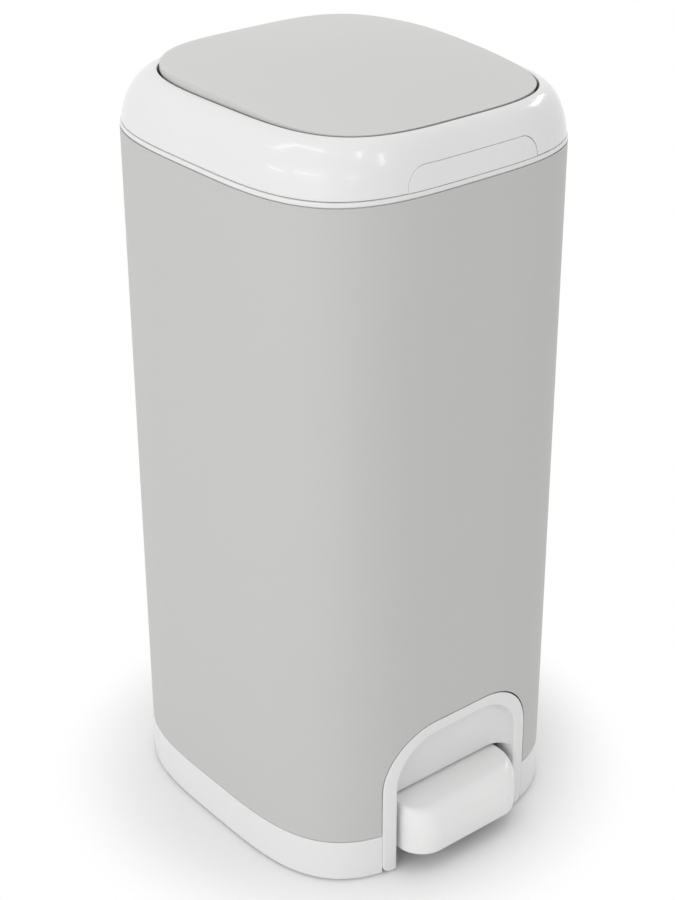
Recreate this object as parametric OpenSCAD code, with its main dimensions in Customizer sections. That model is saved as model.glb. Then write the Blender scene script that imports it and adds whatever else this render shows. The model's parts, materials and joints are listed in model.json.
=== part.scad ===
// Pedal nappy bin. A painted steel sleeve stands on a moulded base. A hinged head closes it and holds the
// film cassette, the two throat flaps and the domed lid, which the pedal opens through a lever and a rod.
// Millimetres, +Z up, the front faces -Y, and the origin is on the floor under the middle of the sleeve.

/* [Body] */
// Width of the sleeve
body_w = 272; // [250:1:300]
// Depth of the sleeve
body_d = 292; // [275:1:320]
// Squareness of the sleeve's corners, as a superellipse exponent
body_square = 3.6; // [3.2:0.1:4.2]
// Height of the sleeve's top edge above the floor
sleeve_top = 563; // [500:1:640]
// Thickness of the sleeve's sheet steel
sleeve_wall = 0.8; // [0.6:0.1:1.2]
// Height of the rim bead that shows above the sleeve
rim_h = 4; // [3:0.5:7]
// Width of the rim bead, outside to inside
rim_w = 4; // [3:0.5:6]
// Gap between the head and the rim, and between the rim and the sleeve
seam = 0.3; // [0.2:0.1:0.6]

/* [Base] */
// Height of the base moulding's visible skirt above the floor
skirt_top = 38; // [32:1:44]
// Wall of the base moulding
base_wall = 3; // [2:0.5:4]
// Thickness of the base plate
plate_t = 2.5; // [2:0.5:4]
// Height of the lip that stands up inside the sleeve
lip_h = 12; // [8:1:13]
// Height that the rubber feet hold the base off the floor
foot_h = 2; // [1.5:0.5:4]
// Radius of a rubber foot
foot_r = 9; // [6:0.5:12]
// Distance of the feet in from the sleeve's faces
foot_in = 42; // [38:1:46]
// Height of the pail's inner floor above the linkage
floor_z = 64; // [63.5:0.5:72]
// Thickness of the pail's inner floor
floor_t = 2.5; // [2:0.5:4]

/* [Pedal surround] */
// Width of the arched surround
arch_w = 150; // [146:1:160]
// Height of the arched surround's top above the floor
arch_top = 128; // [124:1:140]
// Radius of the surround's upper corners
arch_r = 50; // [44:1:54]
// Width of the surround's face at its sides
band_side = 12.5; // [11:0.5:13.5]
// Width of the surround's face at its top
band_top = 9.5; // [8:0.5:12]
// Distance that the surround's face stands proud of the sleeve
arch_proud = 0.6; // [0.4:0.1:1.5]
// Depth of the scooped wall behind the surround's face
scoop_depth = 18; // [15:0.5:19]
// Height of the scooped wall's lower edge, over the pedal
scoop_bottom = 61.2; // [61:0.1:63]
// Wall of the surround's scoop
scoop_wall = 2.5; // [2:0.5:3.5]

/* [Pedal and lever] */
// Width of the pedal
pedal_w = 116; // [100:1:118]
// Height of the pedal's top at its rear edge
pedal_top = 60; // [56:0.5:60.5]
// Height of the pedal's lower edge
pedal_bottom = 18; // [16:0.5:24]
// Distance of the pedal's nose in front of the sleeve
pedal_reach = 19.5; // [12:0.5:24]
// Length of the pedal's tread, rear edge to nose
pedal_len = 41.5; // [38:0.5:44]
// Wall of the pedal moulding
pedal_wall = 3; // [2:0.5:3.5]
// Diameter of the pedal's axle
axle_d = 6; // [5:0.5:7]
// Distance of the axle behind the sleeve's front face
axle_back = 71; // [66:1:78]
// Height of the axle above the floor
axle_z = 36; // [35:0.5:37]
// Width of the lever's channel
lever_w = 23; // [20:1:28]
// Thickness of the lever's sheet steel
lever_t = 2; // [1.5:0.5:2.5]

/* [Lift rod] */
// Diameter of the lift rod
rod_d = 6; // [5:0.5:7]
// Distance of the rod's axis from the sleeve's rear face
rod_inset = 15; // [14:0.5:17]
// Length of the crank that the rod lifts
crank_r = 24; // [22:0.5:25]
// Height of the offset arm on the rod's top end
lift_arm_h = 50; // [44:1:60]

/* [Head] */
// Height of the head's shoulder at the lid's edge, above the sleeve
head_h = 42; // [39:0.5:45]
// Width of the sloping shoulder at the sides and the rear
shoulder_side = 25.7; // [24:0.1:28]
// Width of the sloping shoulder at the front
shoulder_front = 15.5; // [14.5:0.1:18]
// Wall of the head moulding
head_wall = 2.5; // [2:0.5:3]
// Radius of the hinge barrels behind the sleeve
hinge_barrel_r = 6.5; // [6:0.5:7]
// Diameter of the head's hinge pin
hinge_pin_d = 5; // [4:0.5:6]
// Width of the middle hinge barrel
hinge_mid_w = 40; // [30:1:46]
// Width of each outer hinge arm
hinge_arm_w = 13.5; // [10:0.5:16]
// Width of the square throat
throat_w = 124; // [116:1:126]
// Distance of the throat's middle in front of the bin's middle
throat_front = 14; // [12:0.5:16]
// Radius of the throat's corners
throat_r = 30; // [20:1:36]

/* [Lid] */
// Rise of the lid's dome above its edge
dome_h = 18.2; // [16:0.2:26]
// Wall of the lid's cover
lid_wall = 2.5; // [2:0.1:2.8]
// Gap between the lid and the head
lid_gap = 1; // [0.8:0.1:1.6]
// Angle that the pedal opens the lid through
lid_angle = 76; // [60:1:78]
// Diameter of the lid's hinge pin
lid_pin_d = 3; // [2.5:0.5:3.5]

/* [Latch] */
// Width of the release tab on the front of the head
tab_w = 118; // [90:1:124]
// Height of the release tab
tab_h = 17; // [14:0.5:20]
// Gap round the release tab
tab_gap = 0.4; // [0.3:0.1:0.8]
// Distance that the release tab is pressed in
latch_travel = 3; // [2:0.5:3.5]

/* [Throat clamp] */
// Radius of a flap's hinge barrel
flap_barrel_r = 3.5; // [3:0.25:4]
// Diameter of a flap's pin
flap_pin_d = 3; // [2.5:0.25:3]
// Thickness of a flap
flap_t = 2.5; // [2:0.25:3]
// Height of the cassette
cassette_h = 17; // [14:0.5:18]

/* [Fits] */
// Clearance all round between a pin and what turns on it
turn_gap = 0.05; // [0.02:0.01:0.1]
// Clearance between parts that move past each other
move_gap = 0.5; // [0.3:0.1:1]
// Clearance between parts that are fixed together
seat_gap = 0.1; // [0.05:0.05:0.3]

/* [Hidden] */

// Facets of a circle, and points in a ring of a lofted skin
$fn = 64;
ring_points = 72;

// Outline of the sleeve
body_a = body_w / 2;
body_b = body_d / 2;
rear_y = body_b;
front_y = -body_b;
head_top = sleeve_top + head_h;

// Heights of the head
rim_z = sleeve_top + seam;
rim_lip = 12;
head_z = sleeve_top + rim_h + seam;
collar_foot_z = sleeve_top - 9.5;
deck_z = head_z + 0.7;
deck_t = 2.5;
well_top = head_top - 13;
shoulder_power = 2.06;

// Lid
lid_a = body_a - shoulder_side;
lid_b = body_b - (shoulder_front + shoulder_side) / 2;
lid_y = (shoulder_front - shoulder_side) / 2;
lid_square = 3.59;
lid_rear_y = lid_y + lid_b;
lid_skirt_z = head_top - 5;
lid_pivot_y = lid_rear_y - 8.3;
lid_pivot_z = head_top + 1;
lid_barrel_r = lid_pin_d / 2 + 2;
ear_x = 30;
ear_w = 6;
ear_depth = 6;
opening_wall = 2.2;
opening_drop = 11.5;

// Crank and lift rod
crank_tip_r = 4.5;
crank_half = lid_angle / 2;
crank_y = lid_pivot_y - crank_r * cos(crank_half);
crank_z = lid_pivot_z - crank_r * sin(crank_half);
rod_travel = 2 * crank_r * sin(crank_half);
rod_cap_r = 4;
rod_cap_gap = 0.8;
rod_top_z = crank_z - crank_tip_r - rod_cap_gap;
rod_top_y = lid_pivot_y - crank_r;
rod_r = rod_d / 2;
rod_y = rear_y - rod_inset;
arm_top = deck_z - rod_travel - 6;
arm_z = arm_top - lift_arm_h;
arm_socket = 22;

// Lever: at the middle of its travel its axis is level
axle_y = front_y + axle_back;
axle_r = axle_d / 2;
lever_rear = rod_y - axle_y;
lever_top = 6;
lever_tilt = asin(rod_travel / 2 / lever_rear);
lever_tail = 6;
lever_contact_z = axle_z - lever_rear * sin(lever_tilt) + lever_top * cos(lever_tilt);
rod_foot_r = 4.5;
rod_foot_gap = 0.65;
rod_foot_z = lever_contact_z + rod_foot_gap;
rod_foot_h = 4;
tip_floor = 1.2;

// Surround
arch_a = arch_w / 2;
arch_in_a = arch_a - band_side;
arch_in_top = arch_top - band_top;
arch_in_r = arch_r - band_top;
scoop_front = front_y + 4;
scoop_back = scoop_front + scoop_depth - 4;
well_half = arch_in_a + scoop_wall + seat_gap;
arch_leg = 4;
leg_corner_r = 6;
scoop_lip = 0.3;
scoop_soft_side = 16;
scoop_soft_top = 34;
scoop_soft_r = 12;

// Pedal
pedal_a = pedal_w / 2;
pedal_nose = front_y - pedal_reach;
pedal_rear = pedal_nose + pedal_len;
pedal_corner_r = 24;
pedal_rear_r = 9;
pedal_soft = 5;
pedal_climb = 3;
pedal_screw_u = [-60, -76];
boss_a = 4;
nose_r = 60;
crest_r = 12;
nose_z = pedal_bottom + 12;

// Base
plate_z = foot_h;
plate_top = plate_z + plate_t;
lip_gap = sleeve_wall + 0.3;
foot_x = body_a - foot_in;
foot_y = body_b - foot_in;
post_side = 58;
post_end = 50;
post_x = body_a - post_side;
post_y = body_b - post_end;
post_r = 5;
screw_r = 1.6;
floor_screw_len = 10;
clip_t = 1;
spring_r = 6;
spring_y = axle_y - 25;
axle_post_w = 6;
axle_post_x = lever_w / 2 + move_gap;

// Rod channel on the rear wall
channel_w = 24;
channel_t = 1.2;
channel_z = floor_z + floor_t + seat_gap;
channel_top = arm_z - 5;
channel_front = rod_y - 7.5;
guide_h = 12;
guide_z = [channel_z + 20, channel_top - 16];
wall_y = rear_y - sleeve_wall;

// Head hinge
hinge_y = rear_y + 8;
hinge_z = head_z + 2.7;
hinge_pin_r = hinge_pin_d / 2;
hinge_gap = 0.4;
hinge_arm_x = hinge_mid_w / 2 + hinge_gap;
hinge_arm_z = deck_z + deck_t + seat_gap;
hinge_arm_end = rear_y - 28;
hinge_screw_x = hinge_arm_x + hinge_arm_w / 2;
hinge_screw_y = hinge_arm_end + 6;
hinge_screw_len = 8;
bracket_t = 2;
bracket_z = sleeve_top - 35;
bracket_h = 28;
bracket_half = 36;
bracket_neck = 10;
rivet_x = 27;
rivet_z = [7, 21];
rivet_head_r = 2.6;
rivet_head_h = 1.4;

// Throat
throat_a = throat_w / 2;
throat_y = -throat_front;
throat_wall = 2;
throat_end_z = deck_z - 12;
flange_a = throat_a + 10;
flange_t = 2;
well_a = throat_a + 31;
well_b = throat_a + 23;
well_wall = 1.5;
frame_top_z = throat_end_z - seat_gap;
frame_h = 35;
frame_wall = 2.5;
frame_corner = 6;
flap_z = frame_top_z - 14;
flap_pivot_x = throat_a - 7;
flap_gap = 0.4;
flap_pin_r = flap_pin_d / 2;
flap_spring_len = 10;
clamp_screw_x = flange_a - 4;
clamp_screw_len = 5;

// Latch
hook_w = 16;
hook_t = 2.5;
hook_gap = 0.35;
keeper_y = front_y + rim_w + 2;
hook_y = keeper_y + 3;
hook_low_z = sleeve_top - 7;
tab_plate_z = head_z + 5;
latch_spring_r = 3.2;
latch_spring_len = 7.7;

// Lid furniture
liner_t = 2.5;
liner_inset = lid_wall + 0.5;
liner_z = lid_skirt_z - liner_t;
ear_room = 8;
crank_room = [7, 5];
crank_half_w = 5.5;
flange_half_w = 19;
crank_screw_x = 14;
crank_screw_y = crank_y + 6.5;
seal_h = liner_z - well_top - seam;
seal_w = 4;
filter_y = -30;
filter_r = 22;
filter_h = 4.5;
slot_pitch = 5;
slot_w = 2;

// ---- shapes ----

function signed_power(v, p) = sign(v) * pow(abs(v), p);

// Superellipse of half width a and half depth b, counter-clockwise from +X
function squircle(a, b, n, y0 = 0) = [for (i = [0 : ring_points - 1]) let (t = 360 * i / ring_points)
    [a * signed_power(cos(t), 2 / n), y0 + b * signed_power(sin(t), 2 / n)]];

// The sleeve's outline, drawn in by inset
function body_outline(inset = 0) = squircle(body_a - inset, body_b - inset, body_square);

// The rear face's y at x, where the outline is drawn in by inset
function rear_at(x, inset) = lookup(x, [for (i = [ring_points / 2 : -1 : 0]) body_outline(inset)[i]]);

function at_height(points, z) = [for (p = points) [p.x, p.y, z]];

function arc(cx, cy, r, from, to, steps) = [for (i = [0 : steps]) let (t = from + (to - from) * i / steps)
    [cx + r * cos(t), cy + r * sin(t)]];

// The head's shoulder from the rim (turn = its foot) to the lid (turn = 90), drawn in by inset
function shoulder_ring(turn, inset = 0) =
    let (u = 1 - pow(cos(turn), 2 / shoulder_power), w = pow(sin(turn), 2 / shoulder_power),
        a = body_a + (lid_a - body_a) * u - inset * cos(turn),
        b = body_b + (lid_b - body_b) * u - inset * cos(turn),
        n = body_square + (lid_square - body_square) * u,
        z = collar_foot_z + (head_top - collar_foot_z) * w - inset * sin(turn))
    at_height(squircle(a, b, n, lid_y * u), z);

// Height of the dome over the lid's edge, at the fraction k of the way from the middle to the edge
function dome(k) = dome_h * pow(1 - pow(k, 2.27), 1 / 2.97);

function lid_ring(k, z, inset = 0) =
    at_height(squircle(lid_a * k - inset, lid_b * k - inset, 2.2 + (lid_square - 2.2) * k, lid_y), z);

// Arched ring in a plane of constant y, from one foot over the top to the other
function arch_ring(a, top, r, bottom, y) =
    [for (p = concat([[-a, bottom]], arc(r - a, top - r, r, 180, 90, 10), arc(a - r, top - r, r, 90, 0, 10),
        [[a, bottom]])) [p.x, y, p.y]];

// Closed skin through rings of equal length: capped at both ends, or closed on itself
module loft(rings, looped = false) {
    n = len(rings[0]);
    m = len(rings);
    sides = [for (j = [0 : looped ? m - 1 : m - 2]) for (i = [0 : n - 1])
        let (low = j * n, high = ((j + 1) % m) * n, k = (i + 1) % n)
        each [[low + i, high + k, low + k], [low + i, high + i, high + k]]];
    caps = looped ? [] : [[for (i = [0 : n - 1]) i], [for (i = [0 : n - 1]) m * n - 1 - i]];
    polyhedron([for (ring = rings) each ring], concat(sides, caps));
}

// Coil spring standing on z = 0
module coil(r, wire_r, turns, height) {
    steps = 12;
    count = turns * steps;
    loft([for (j = [0 : count]) let (t = 360 * j / steps, z = wire_r + (height - 2 * wire_r) * j / count)
        [for (k = [0 : 4]) let (f = -72 * k, out = r + wire_r * cos(f))
            [out * cos(t), out * sin(t), z + wire_r * sin(f)]]]);
}

// Extrudes a drawing made in X and Z along Y, and one made in Y and Z along X
module along_y(from, to) {
    translate([0, to, 0]) rotate([90, 0, 0]) linear_extrude(to - from) children();
}

module along_x(from, to) {
    translate([from, 0, 0]) rotate([90, 0, 90]) linear_extrude(to - from) children();
}

module rod_x(from, to, y, z, r) {
    translate([from, y, z]) rotate([0, 90, 0]) cylinder(h = to - from, r = r);
}

module rod_y(from, to, x, z, r) {
    translate([x, from, z]) rotate([-90, 0, 0]) cylinder(h = to - from, r = r);
}

module box(low, high) {
    translate(low) cube(high - low);
}

module mirrored() {
    children();
    mirror([1, 0, 0]) children();
}

module corners(x, y, y0 = 0) {
    for (sx = [-1, 1], sy = [-1, 1]) translate([sx * x, y0 + sy * y, 0]) children();
}

// Rounded square of half width a
module round_square(a, r) {
    square([2 * a, 2 * (a - r)], center = true);
    square([2 * (a - r), 2 * a], center = true);
    for (sx = [-1, 1], sy = [-1, 1]) translate([sx * (a - r), sy * (a - r)]) circle(r);
}

// Arch of half width a, from the height bottom to top
module arch(a, top, r, bottom) {
    translate([-a, bottom]) square([2 * a, top - r - bottom]);
    translate([r - a, bottom]) square([2 * (a - r), top - bottom]);
    for (s = [-1, 1]) translate([s * (a - r), top - r]) circle(r);
}

// Wall that follows the sleeve, from inset outer to inset inner
module body_wall(outer, inner, z, h) {
    translate([0, 0, z]) linear_extrude(h) difference() {
        polygon(body_outline(outer));
        polygon(body_outline(inner));
    }
}

module pan_screw(r, len) {
    cylinder(h = len, r = r);
    translate([0, 0, len]) cylinder(h = 1.8, r = 2.2 * r);
}

// Places a shape drawn about the lever's axle, with Y along the lever and Z across it, at rest
module lever_frame() { translate([0, axle_y, axle_z]) rotate([-lever_tilt, 0, 0]) children(); }

// ---- body ----

module body_shell() {
    color("silver") difference() {
        body_wall(0, sleeve_wall, skirt_top + seam, sleeve_top - skirt_top - seam);
        along_y(front_y - 1, 0) arch(arch_a + seam, arch_top + seam, arch_r + seam, 0);
        for (x = [-rivet_x, rivet_x], z = rivet_z)
            rod_y(0, rear_y + 1, x, bracket_z + z, screw_r + seat_gap);
    }
}

module top_rim() {
    color("white") difference() {
        union() {
            body_wall(0.2, rim_w, rim_z, rim_h - seam);
            body_wall(sleeve_wall + seat_gap, rim_w, sleeve_top - rim_lip, rim_lip + seam);
        }
        for (x = [-rivet_x, rivet_x])
            rod_y(0, rear_y, x, bracket_z + rivet_z[1], 2.5 * screw_r);
    }
}

// Room that the surround's face takes in the base
module surround_room() {
    intersection() {
        body_wall(-1, arch_leg + seam, 0, arch_top);
        along_y(front_y - 1, 0) arch(arch_a + seam, arch_top, arch_r, -1);
    }
}

module base_skirt() {
    color("white") difference() {
        union() {
            body_wall(0, base_wall, plate_z, skirt_top - plate_z);
            body_wall(lip_gap, lip_gap + 2, skirt_top - 2, lip_h + 2);
            body_wall(0.5, lip_gap + 2, skirt_top - 2, 2);
            translate([0, 0, plate_z]) linear_extrude(plate_t) polygon(body_outline(1));
            corners(post_x, post_y) translate([0, 0, plate_top])
                cylinder(h = floor_z - plate_top, r = post_r);
            mirrored() along_x(axle_post_x, axle_post_x + axle_post_w) {
                translate([axle_y, axle_z]) circle(axle_r + 4);
                translate([axle_y - axle_r - 4, plate_top]) square([2 * axle_r + 8, axle_z - plate_top]);
            }
            translate([0, spring_y, plate_top]) cylinder(h = 4, r = spring_r - 2.5);
        }
        surround_room();
        box([-well_half, front_y - 1, 0], [well_half, pedal_rear + 3, floor_z]);
        rod_x(-body_a, body_a, axle_y, axle_z, axle_r);
        corners(post_x, post_y) translate([0, 0, floor_z - 12]) cylinder(h = 13, r = screw_r);
        corners(foot_x, foot_y) translate([0, 0, plate_z - 1]) cylinder(h = 2, r = foot_r + seat_gap);
    }
}

// Hollow of the scoop, a little inside the surround's opening, and with grow its outer skin
module scoop(grow) {
    a = arch_in_a - scoop_lip + grow;
    top = arch_in_top - scoop_lip + grow;
    r = arch_in_r - scoop_lip + grow;
    loft(concat([arch_ring(a, top, r, 0, front_y - 2 - grow)],
        [for (turn = [0 : 15 : 90]) let (soft = 1 - cos(turn))
            arch_ring(a - scoop_soft_side * soft, top - scoop_soft_top * soft, r - scoop_soft_r * soft, 0,
                scoop_front + (scoop_back + grow - scoop_front) * sin(turn))]));
}

// The surround's outline, with the lower corners of its legs rounded
module leg_arch() {
    difference() {
        arch(arch_a, arch_top, arch_r, plate_z);
        for (s = [-1, 1]) difference() {
            translate([s * (arch_a - leg_corner_r / 2), plate_z + leg_corner_r / 2])
                square(leg_corner_r + 0.02, center = true);
            translate([s * (arch_a - leg_corner_r), plate_z + leg_corner_r]) circle(leg_corner_r);
        }
    }
}

module pedal_surround() {
    color("whitesmoke") {
        intersection() {
            difference() {
                along_y(front_y - arch_proud - 1, 0) leg_arch();
                along_y(front_y - arch_proud - 2, 1) arch(arch_in_a, arch_in_top, arch_in_r, 0);
            }
            linear_extrude(arch_top + 1) difference() {
                polygon(body_outline(-arch_proud));
                polygon(body_outline(arch_leg));
            }
        }
        intersection() {
            difference() {
                scoop(scoop_wall);
                scoop(0);
            }
            box([-arch_a, front_y + 3, scoop_bottom], [arch_a, 0, arch_top]);
        }
        mirrored() box([arch_in_a, front_y + 3, plate_z],
            [arch_in_a + scoop_wall, scoop_back + 4, scoop_bottom]);
    }
}

module pail_floor() {
    color("gainsboro") difference() {
        union() {
            translate([0, 0, floor_z]) linear_extrude(floor_t) polygon(body_outline(lip_gap));
            body_wall(lip_gap, lip_gap + 2, skirt_top + lip_h + seat_gap, floor_z - skirt_top - lip_h);
        }
        surround_room();
        box([-well_half, front_y - 1, 0], [well_half, scoop_back + scoop_wall + seat_gap, floor_z + 10]);
        translate([0, rod_y, 0]) cylinder(h = 2 * floor_z, r = rod_r + move_gap);
        corners(post_x, post_y) translate([0, 0, floor_z - 1])
            cylinder(h = floor_t + 2, r = screw_r + seat_gap);
    }
}

module rubber_feet() {
    color("dimgray") corners(foot_x, foot_y) {
        cylinder(h = plate_z + 1, r = foot_r);
    }
}

module floor_screws() {
    color("silver") corners(post_x, post_y) translate([0, 0, floor_z + floor_t - floor_screw_len])
        pan_screw(screw_r, floor_screw_len);
}

module pedal_axle() {
    reach = axle_post_x + axle_post_w + 2.5;
    color("silver") rod_x(-reach, reach, axle_y, axle_z, axle_r);
}

module axle_clips() {
    clip_x = axle_post_x + axle_post_w + seat_gap;
    color("dimgray") mirrored() difference() {
        rod_x(clip_x, clip_x + clip_t, axle_y, axle_z, axle_r + 2.5);
        rod_x(clip_x - 1, clip_x + clip_t + 1, axle_y, axle_z, axle_r);
    }
}

module pedal_spring() {
    reach = axle_y - spring_y;
    top = axle_z + reach * tan(lever_tilt) + (lever_top - lever_t) / cos(lever_tilt);
    color("silver") translate([0, spring_y, plate_top]) coil(spring_r, 0.8, 7, top - plate_top - 0.6);
}

module rod_channel() {
    half = channel_w / 2;
    color("gainsboro") translate([0, 0, channel_z]) linear_extrude(channel_top - channel_z) {
        translate([-half, channel_front]) square([channel_w, channel_t]);
        for (s = [-1, 1]) translate([s * (half - channel_t / 2), (channel_front + wall_y) / 2 - 0.2])
            square([channel_t, wall_y - channel_front - 0.4], center = true);
        for (s = [-1, 1]) translate([s * (half + 4), wall_y - 0.4 - channel_t / 2])
            square([8 + channel_t, channel_t], center = true);
    }
}

module rod_guides() {
    half = channel_w / 2 - channel_t - seat_gap;
    front = channel_front + channel_t + seat_gap;
    color("white") for (z = guide_z) difference() {
        box([-half, front, z], [half, wall_y - 1, z + guide_h]);
        translate([0, rod_y, z - 1]) cylinder(h = guide_h + 2, r = rod_r + turn_gap);
    }
}

module hinge_bracket() {
    mid = hinge_mid_w / 2;
    back = rear_y + seat_gap;
    color("silver") difference() {
        union() {
            box([-bracket_half, back, bracket_z], [bracket_half, back + bracket_t, bracket_z + bracket_h]);
            along_x(-mid, mid) {
                translate([hinge_y, hinge_z]) circle(hinge_barrel_r);
                translate([back, bracket_z + bracket_h - 1])
                    square([bracket_t, hinge_z - 3 - bracket_z - bracket_h]);
                polygon([[back, hinge_z - bracket_neck], [back + bracket_t, hinge_z - bracket_neck],
                    [hinge_y + 3, hinge_z - 4],
                    [hinge_y, hinge_z], [back + 2.5, hinge_z - 4]]);
            }
        }
        rod_x(-body_a, body_a, hinge_y, hinge_z, hinge_pin_r);
        for (x = [-rivet_x, rivet_x], z = rivet_z)
            rod_y(0, back + bracket_t + 1, x, bracket_z + z, screw_r + seat_gap);
    }
}

module hinge_pin() {
    reach = hinge_arm_x + hinge_arm_w;
    color("silver") {
        rod_x(-reach - 1, reach + 1, hinge_y, hinge_z, hinge_pin_r);
        rod_x(-reach - 2.4, -reach - hinge_gap, hinge_y, hinge_z, hinge_pin_r + 1.2);
    }
}

module bracket_rivets() {
    back = rear_y + seat_gap + bracket_t;
    seat = rear_at(rivet_x + rivet_head_r, sleeve_wall) - seat_gap;
    color("silver") for (x = [-rivet_x, rivet_x], z = rivet_z) {
        rod_y(seat - rivet_head_h, back, x, bracket_z + z, screw_r);
        rod_y(back, back + rivet_head_h, x, bracket_z + z, rivet_head_r + 0.4);
        rod_y(seat - rivet_head_h, seat, x, bracket_z + z, rivet_head_r);
    }
}

module latch_keeper() {
    inner = front_y + rim_w;
    color("silver") {
        box([-hook_w / 2 - 4, inner + 0.1, sleeve_top - 11], [hook_w / 2 + 4, inner + 1.3, sleeve_top - 1]);
        box([-hook_w / 2 - 4, inner + 0.1, sleeve_top - 2.2], [hook_w / 2 + 4, keeper_y, sleeve_top - 1]);
    }
}

// ---- pedal ----

// Rounded outline of the pedal at one height: each side is drawn in by its own amount, and z is the height at
// the nose, from which the outline climbs to the rear
function pedal_ring(z, front, side, rear, climb) =
    let (a = pedal_a - side, nose = pedal_nose + front, back = pedal_rear - rear,
        r = pedal_corner_r - side, q = pedal_rear_r - rear)
    [for (p = concat(arc(a - q, back - q, q, 0, 90, 6), arc(q - a, back - q, q, 90, 180, 6),
        arc(r - a, nose + r, r, 180, 270, 10), arc(a - r, nose + r, r, 270, 360, 10)))
        [p.x, p.y, z + climb * (p.y - pedal_nose) / pedal_len]];

// Body of the pedal, drawn in by inset: a bowed nose that rolls over into the climbing tread
module pedal_solid(inset) {
    roll_z = pedal_top - pedal_climb - crest_r;
    bow = nose_r - sqrt(pow(nose_r, 2) - pow(roll_z - nose_z, 2));
    low_bow = nose_r - sqrt(pow(nose_r, 2) - pow(nose_z - pedal_bottom, 2));
    loft(concat(
        [pedal_ring(pedal_bottom - (inset > 0 ? 1 : 0), low_bow + inset, inset, inset, 0),
            pedal_ring(nose_z, inset, inset, inset, 0),
            pedal_ring(roll_z, bow + inset, inset, inset, pedal_climb / 3)],
        [for (turn = [15 : 15 : 90]) let (soft = 1 - cos(turn))
            pedal_ring(roll_z + (crest_r - inset) * sin(turn), bow + inset + (crest_r - inset) * soft,
                inset + (pedal_soft - inset) * soft, inset + (pedal_soft - inset) * soft,
                pedal_climb * (1 + 2 * sin(turn)) / 3)]));
}

module pedal() {
    rib_x = lever_w / 2 + 2;
    color("white") difference() {
        union() {
            difference() {
                pedal_solid(0);
                pedal_solid(pedal_wall);
            }
            intersection() {
                pedal_solid(1);
                mirrored() {
                    box([rib_x, pedal_nose, pedal_bottom + 6], [rib_x + 2, pedal_rear, pedal_top]);
                    box([rib_x, pedal_nose + 20, pedal_bottom + 6], [pedal_a, pedal_nose + 22, pedal_top]);
                }
            }
            intersection() {
                pedal_solid(1);
                lever_frame() for (u = pedal_screw_u)
                    box([-boss_a, u - boss_a, lever_top + seat_gap], [boss_a, u + boss_a, lever_top + 20]);
            }
        }
        box([-lever_w / 2 - move_gap, pedal_rear - 5, 0], [lever_w / 2 + move_gap, 0, axle_z + 17]);
        lever_frame() for (u = pedal_screw_u) translate([0, u, 0]) cylinder(h = lever_top + 6, r = screw_r);
    }
}

module pedal_lever() {
    half = lever_w / 2;
    front = -83;
    back = lever_rear + lever_tail;
    color("silver") lever_frame() difference() {
        union() {
            box([-half, front, lever_top - lever_t], [half, back, lever_top]);
            mirrored() along_x(half - lever_t, half) {
                translate([front, lever_top - 8]) square([back - front, 8]);
                circle(axle_r + 3.5);
                translate([-axle_r - 3.5, 0]) square([2 * axle_r + 7, lever_top]);
            }
        }
        rod_x(-half - 1, half + 1, 0, 0, axle_r + turn_gap);
        for (u = pedal_screw_u) translate([0, u, 0]) cylinder(h = lever_top + 1, r = screw_r + seat_gap);
    }
}

module pedal_screws() {
    color("silver") lever_frame() for (u = pedal_screw_u) translate([0, u, lever_top - lever_t - seat_gap])
        mirror([0, 0, 1]) translate([0, 0, -8]) pan_screw(screw_r, 8);
}

// ---- lift rod ----

module lift_rod() {
    low = rod_foot_z + tip_floor;
    color("silver") translate([0, rod_y, low]) cylinder(h = arm_z + arm_socket - low, r = rod_r);
}

module rod_foot() {
    color("white") translate([0, rod_y, rod_foot_z]) difference() {
        cylinder(h = rod_foot_h, r = rod_foot_r);
        translate([0, 0, tip_floor]) cylinder(h = rod_foot_h, r = rod_r);
    }
}

// Moulded arm that carries the push forward from the rod at the rear wall to the lid's crank
module lift_arm() {
    color("white") difference() {
        union() {
            along_x(-5, 5) polygon([[rod_y - 6, arm_z], [rod_y + 6, arm_z], [rod_y + 6, arm_z + 26],
                [rod_top_y + rod_cap_r, arm_top], [rod_top_y - rod_cap_r, arm_top],
                [rod_top_y - rod_cap_r, arm_top - 8], [rod_y - 6, arm_z + 14]]);
            translate([0, rod_top_y, arm_top - 6]) cylinder(h = rod_top_z - arm_top + 6, r = rod_cap_r);
        }
        translate([0, rod_y, arm_z - 1]) cylinder(h = arm_socket + 1, r = rod_r);
    }
}

// ---- head ----

module collar_skin() {
    foot_turn = asin(pow((head_z - collar_foot_z) / (head_top - collar_foot_z), shoulder_power / 2));
    top_turn = acos(pow((lid_gap / (body_a - lid_a)), shoulder_power / 2));
    turns = [for (i = [0 : 8]) foot_turn + (top_turn - foot_turn) * i / 8];
    low_z = head_top - opening_drop;
    loft(concat([for (t = turns) shoulder_ring(t)],
        [lid_ring(1, head_top - 1, -lid_gap), lid_ring(1, low_z, -lid_gap),
            lid_ring(1, low_z, -lid_gap - opening_wall)],
        [lid_ring(1, head_top - 4.5, -lid_gap - opening_wall)],
        [for (i = [7 : -1 : 1]) shoulder_ring(turns[i], head_wall)],
        [at_height(shoulder_ring(foot_turn, head_wall), head_z)]), looped = true);
}

// Outline of the release tab, grown by gap
module tab_outline(gap) {
    a = tab_w / 2 + gap;
    top = head_z + tab_h + gap;
    arch(a, top, 15 + gap, head_z - 2);
}

module head_collar() {
    color("white") difference() {
        collar_skin();
        along_y(front_y - 1, lid_y - lid_b + 10) tab_outline(tab_gap);
        mirrored() box([hinge_arm_x - hinge_gap, rear_y - 12, head_z - 1],
            [hinge_arm_x + hinge_arm_w + hinge_gap, rear_y + 5, hinge_z + hinge_barrel_r + hinge_gap]);
    }
}

// Square prism about the throat's axis
module throat_prism(z, h, a, r) {
    translate([0, throat_y, z]) linear_extrude(h) round_square(a, r);
}

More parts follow.
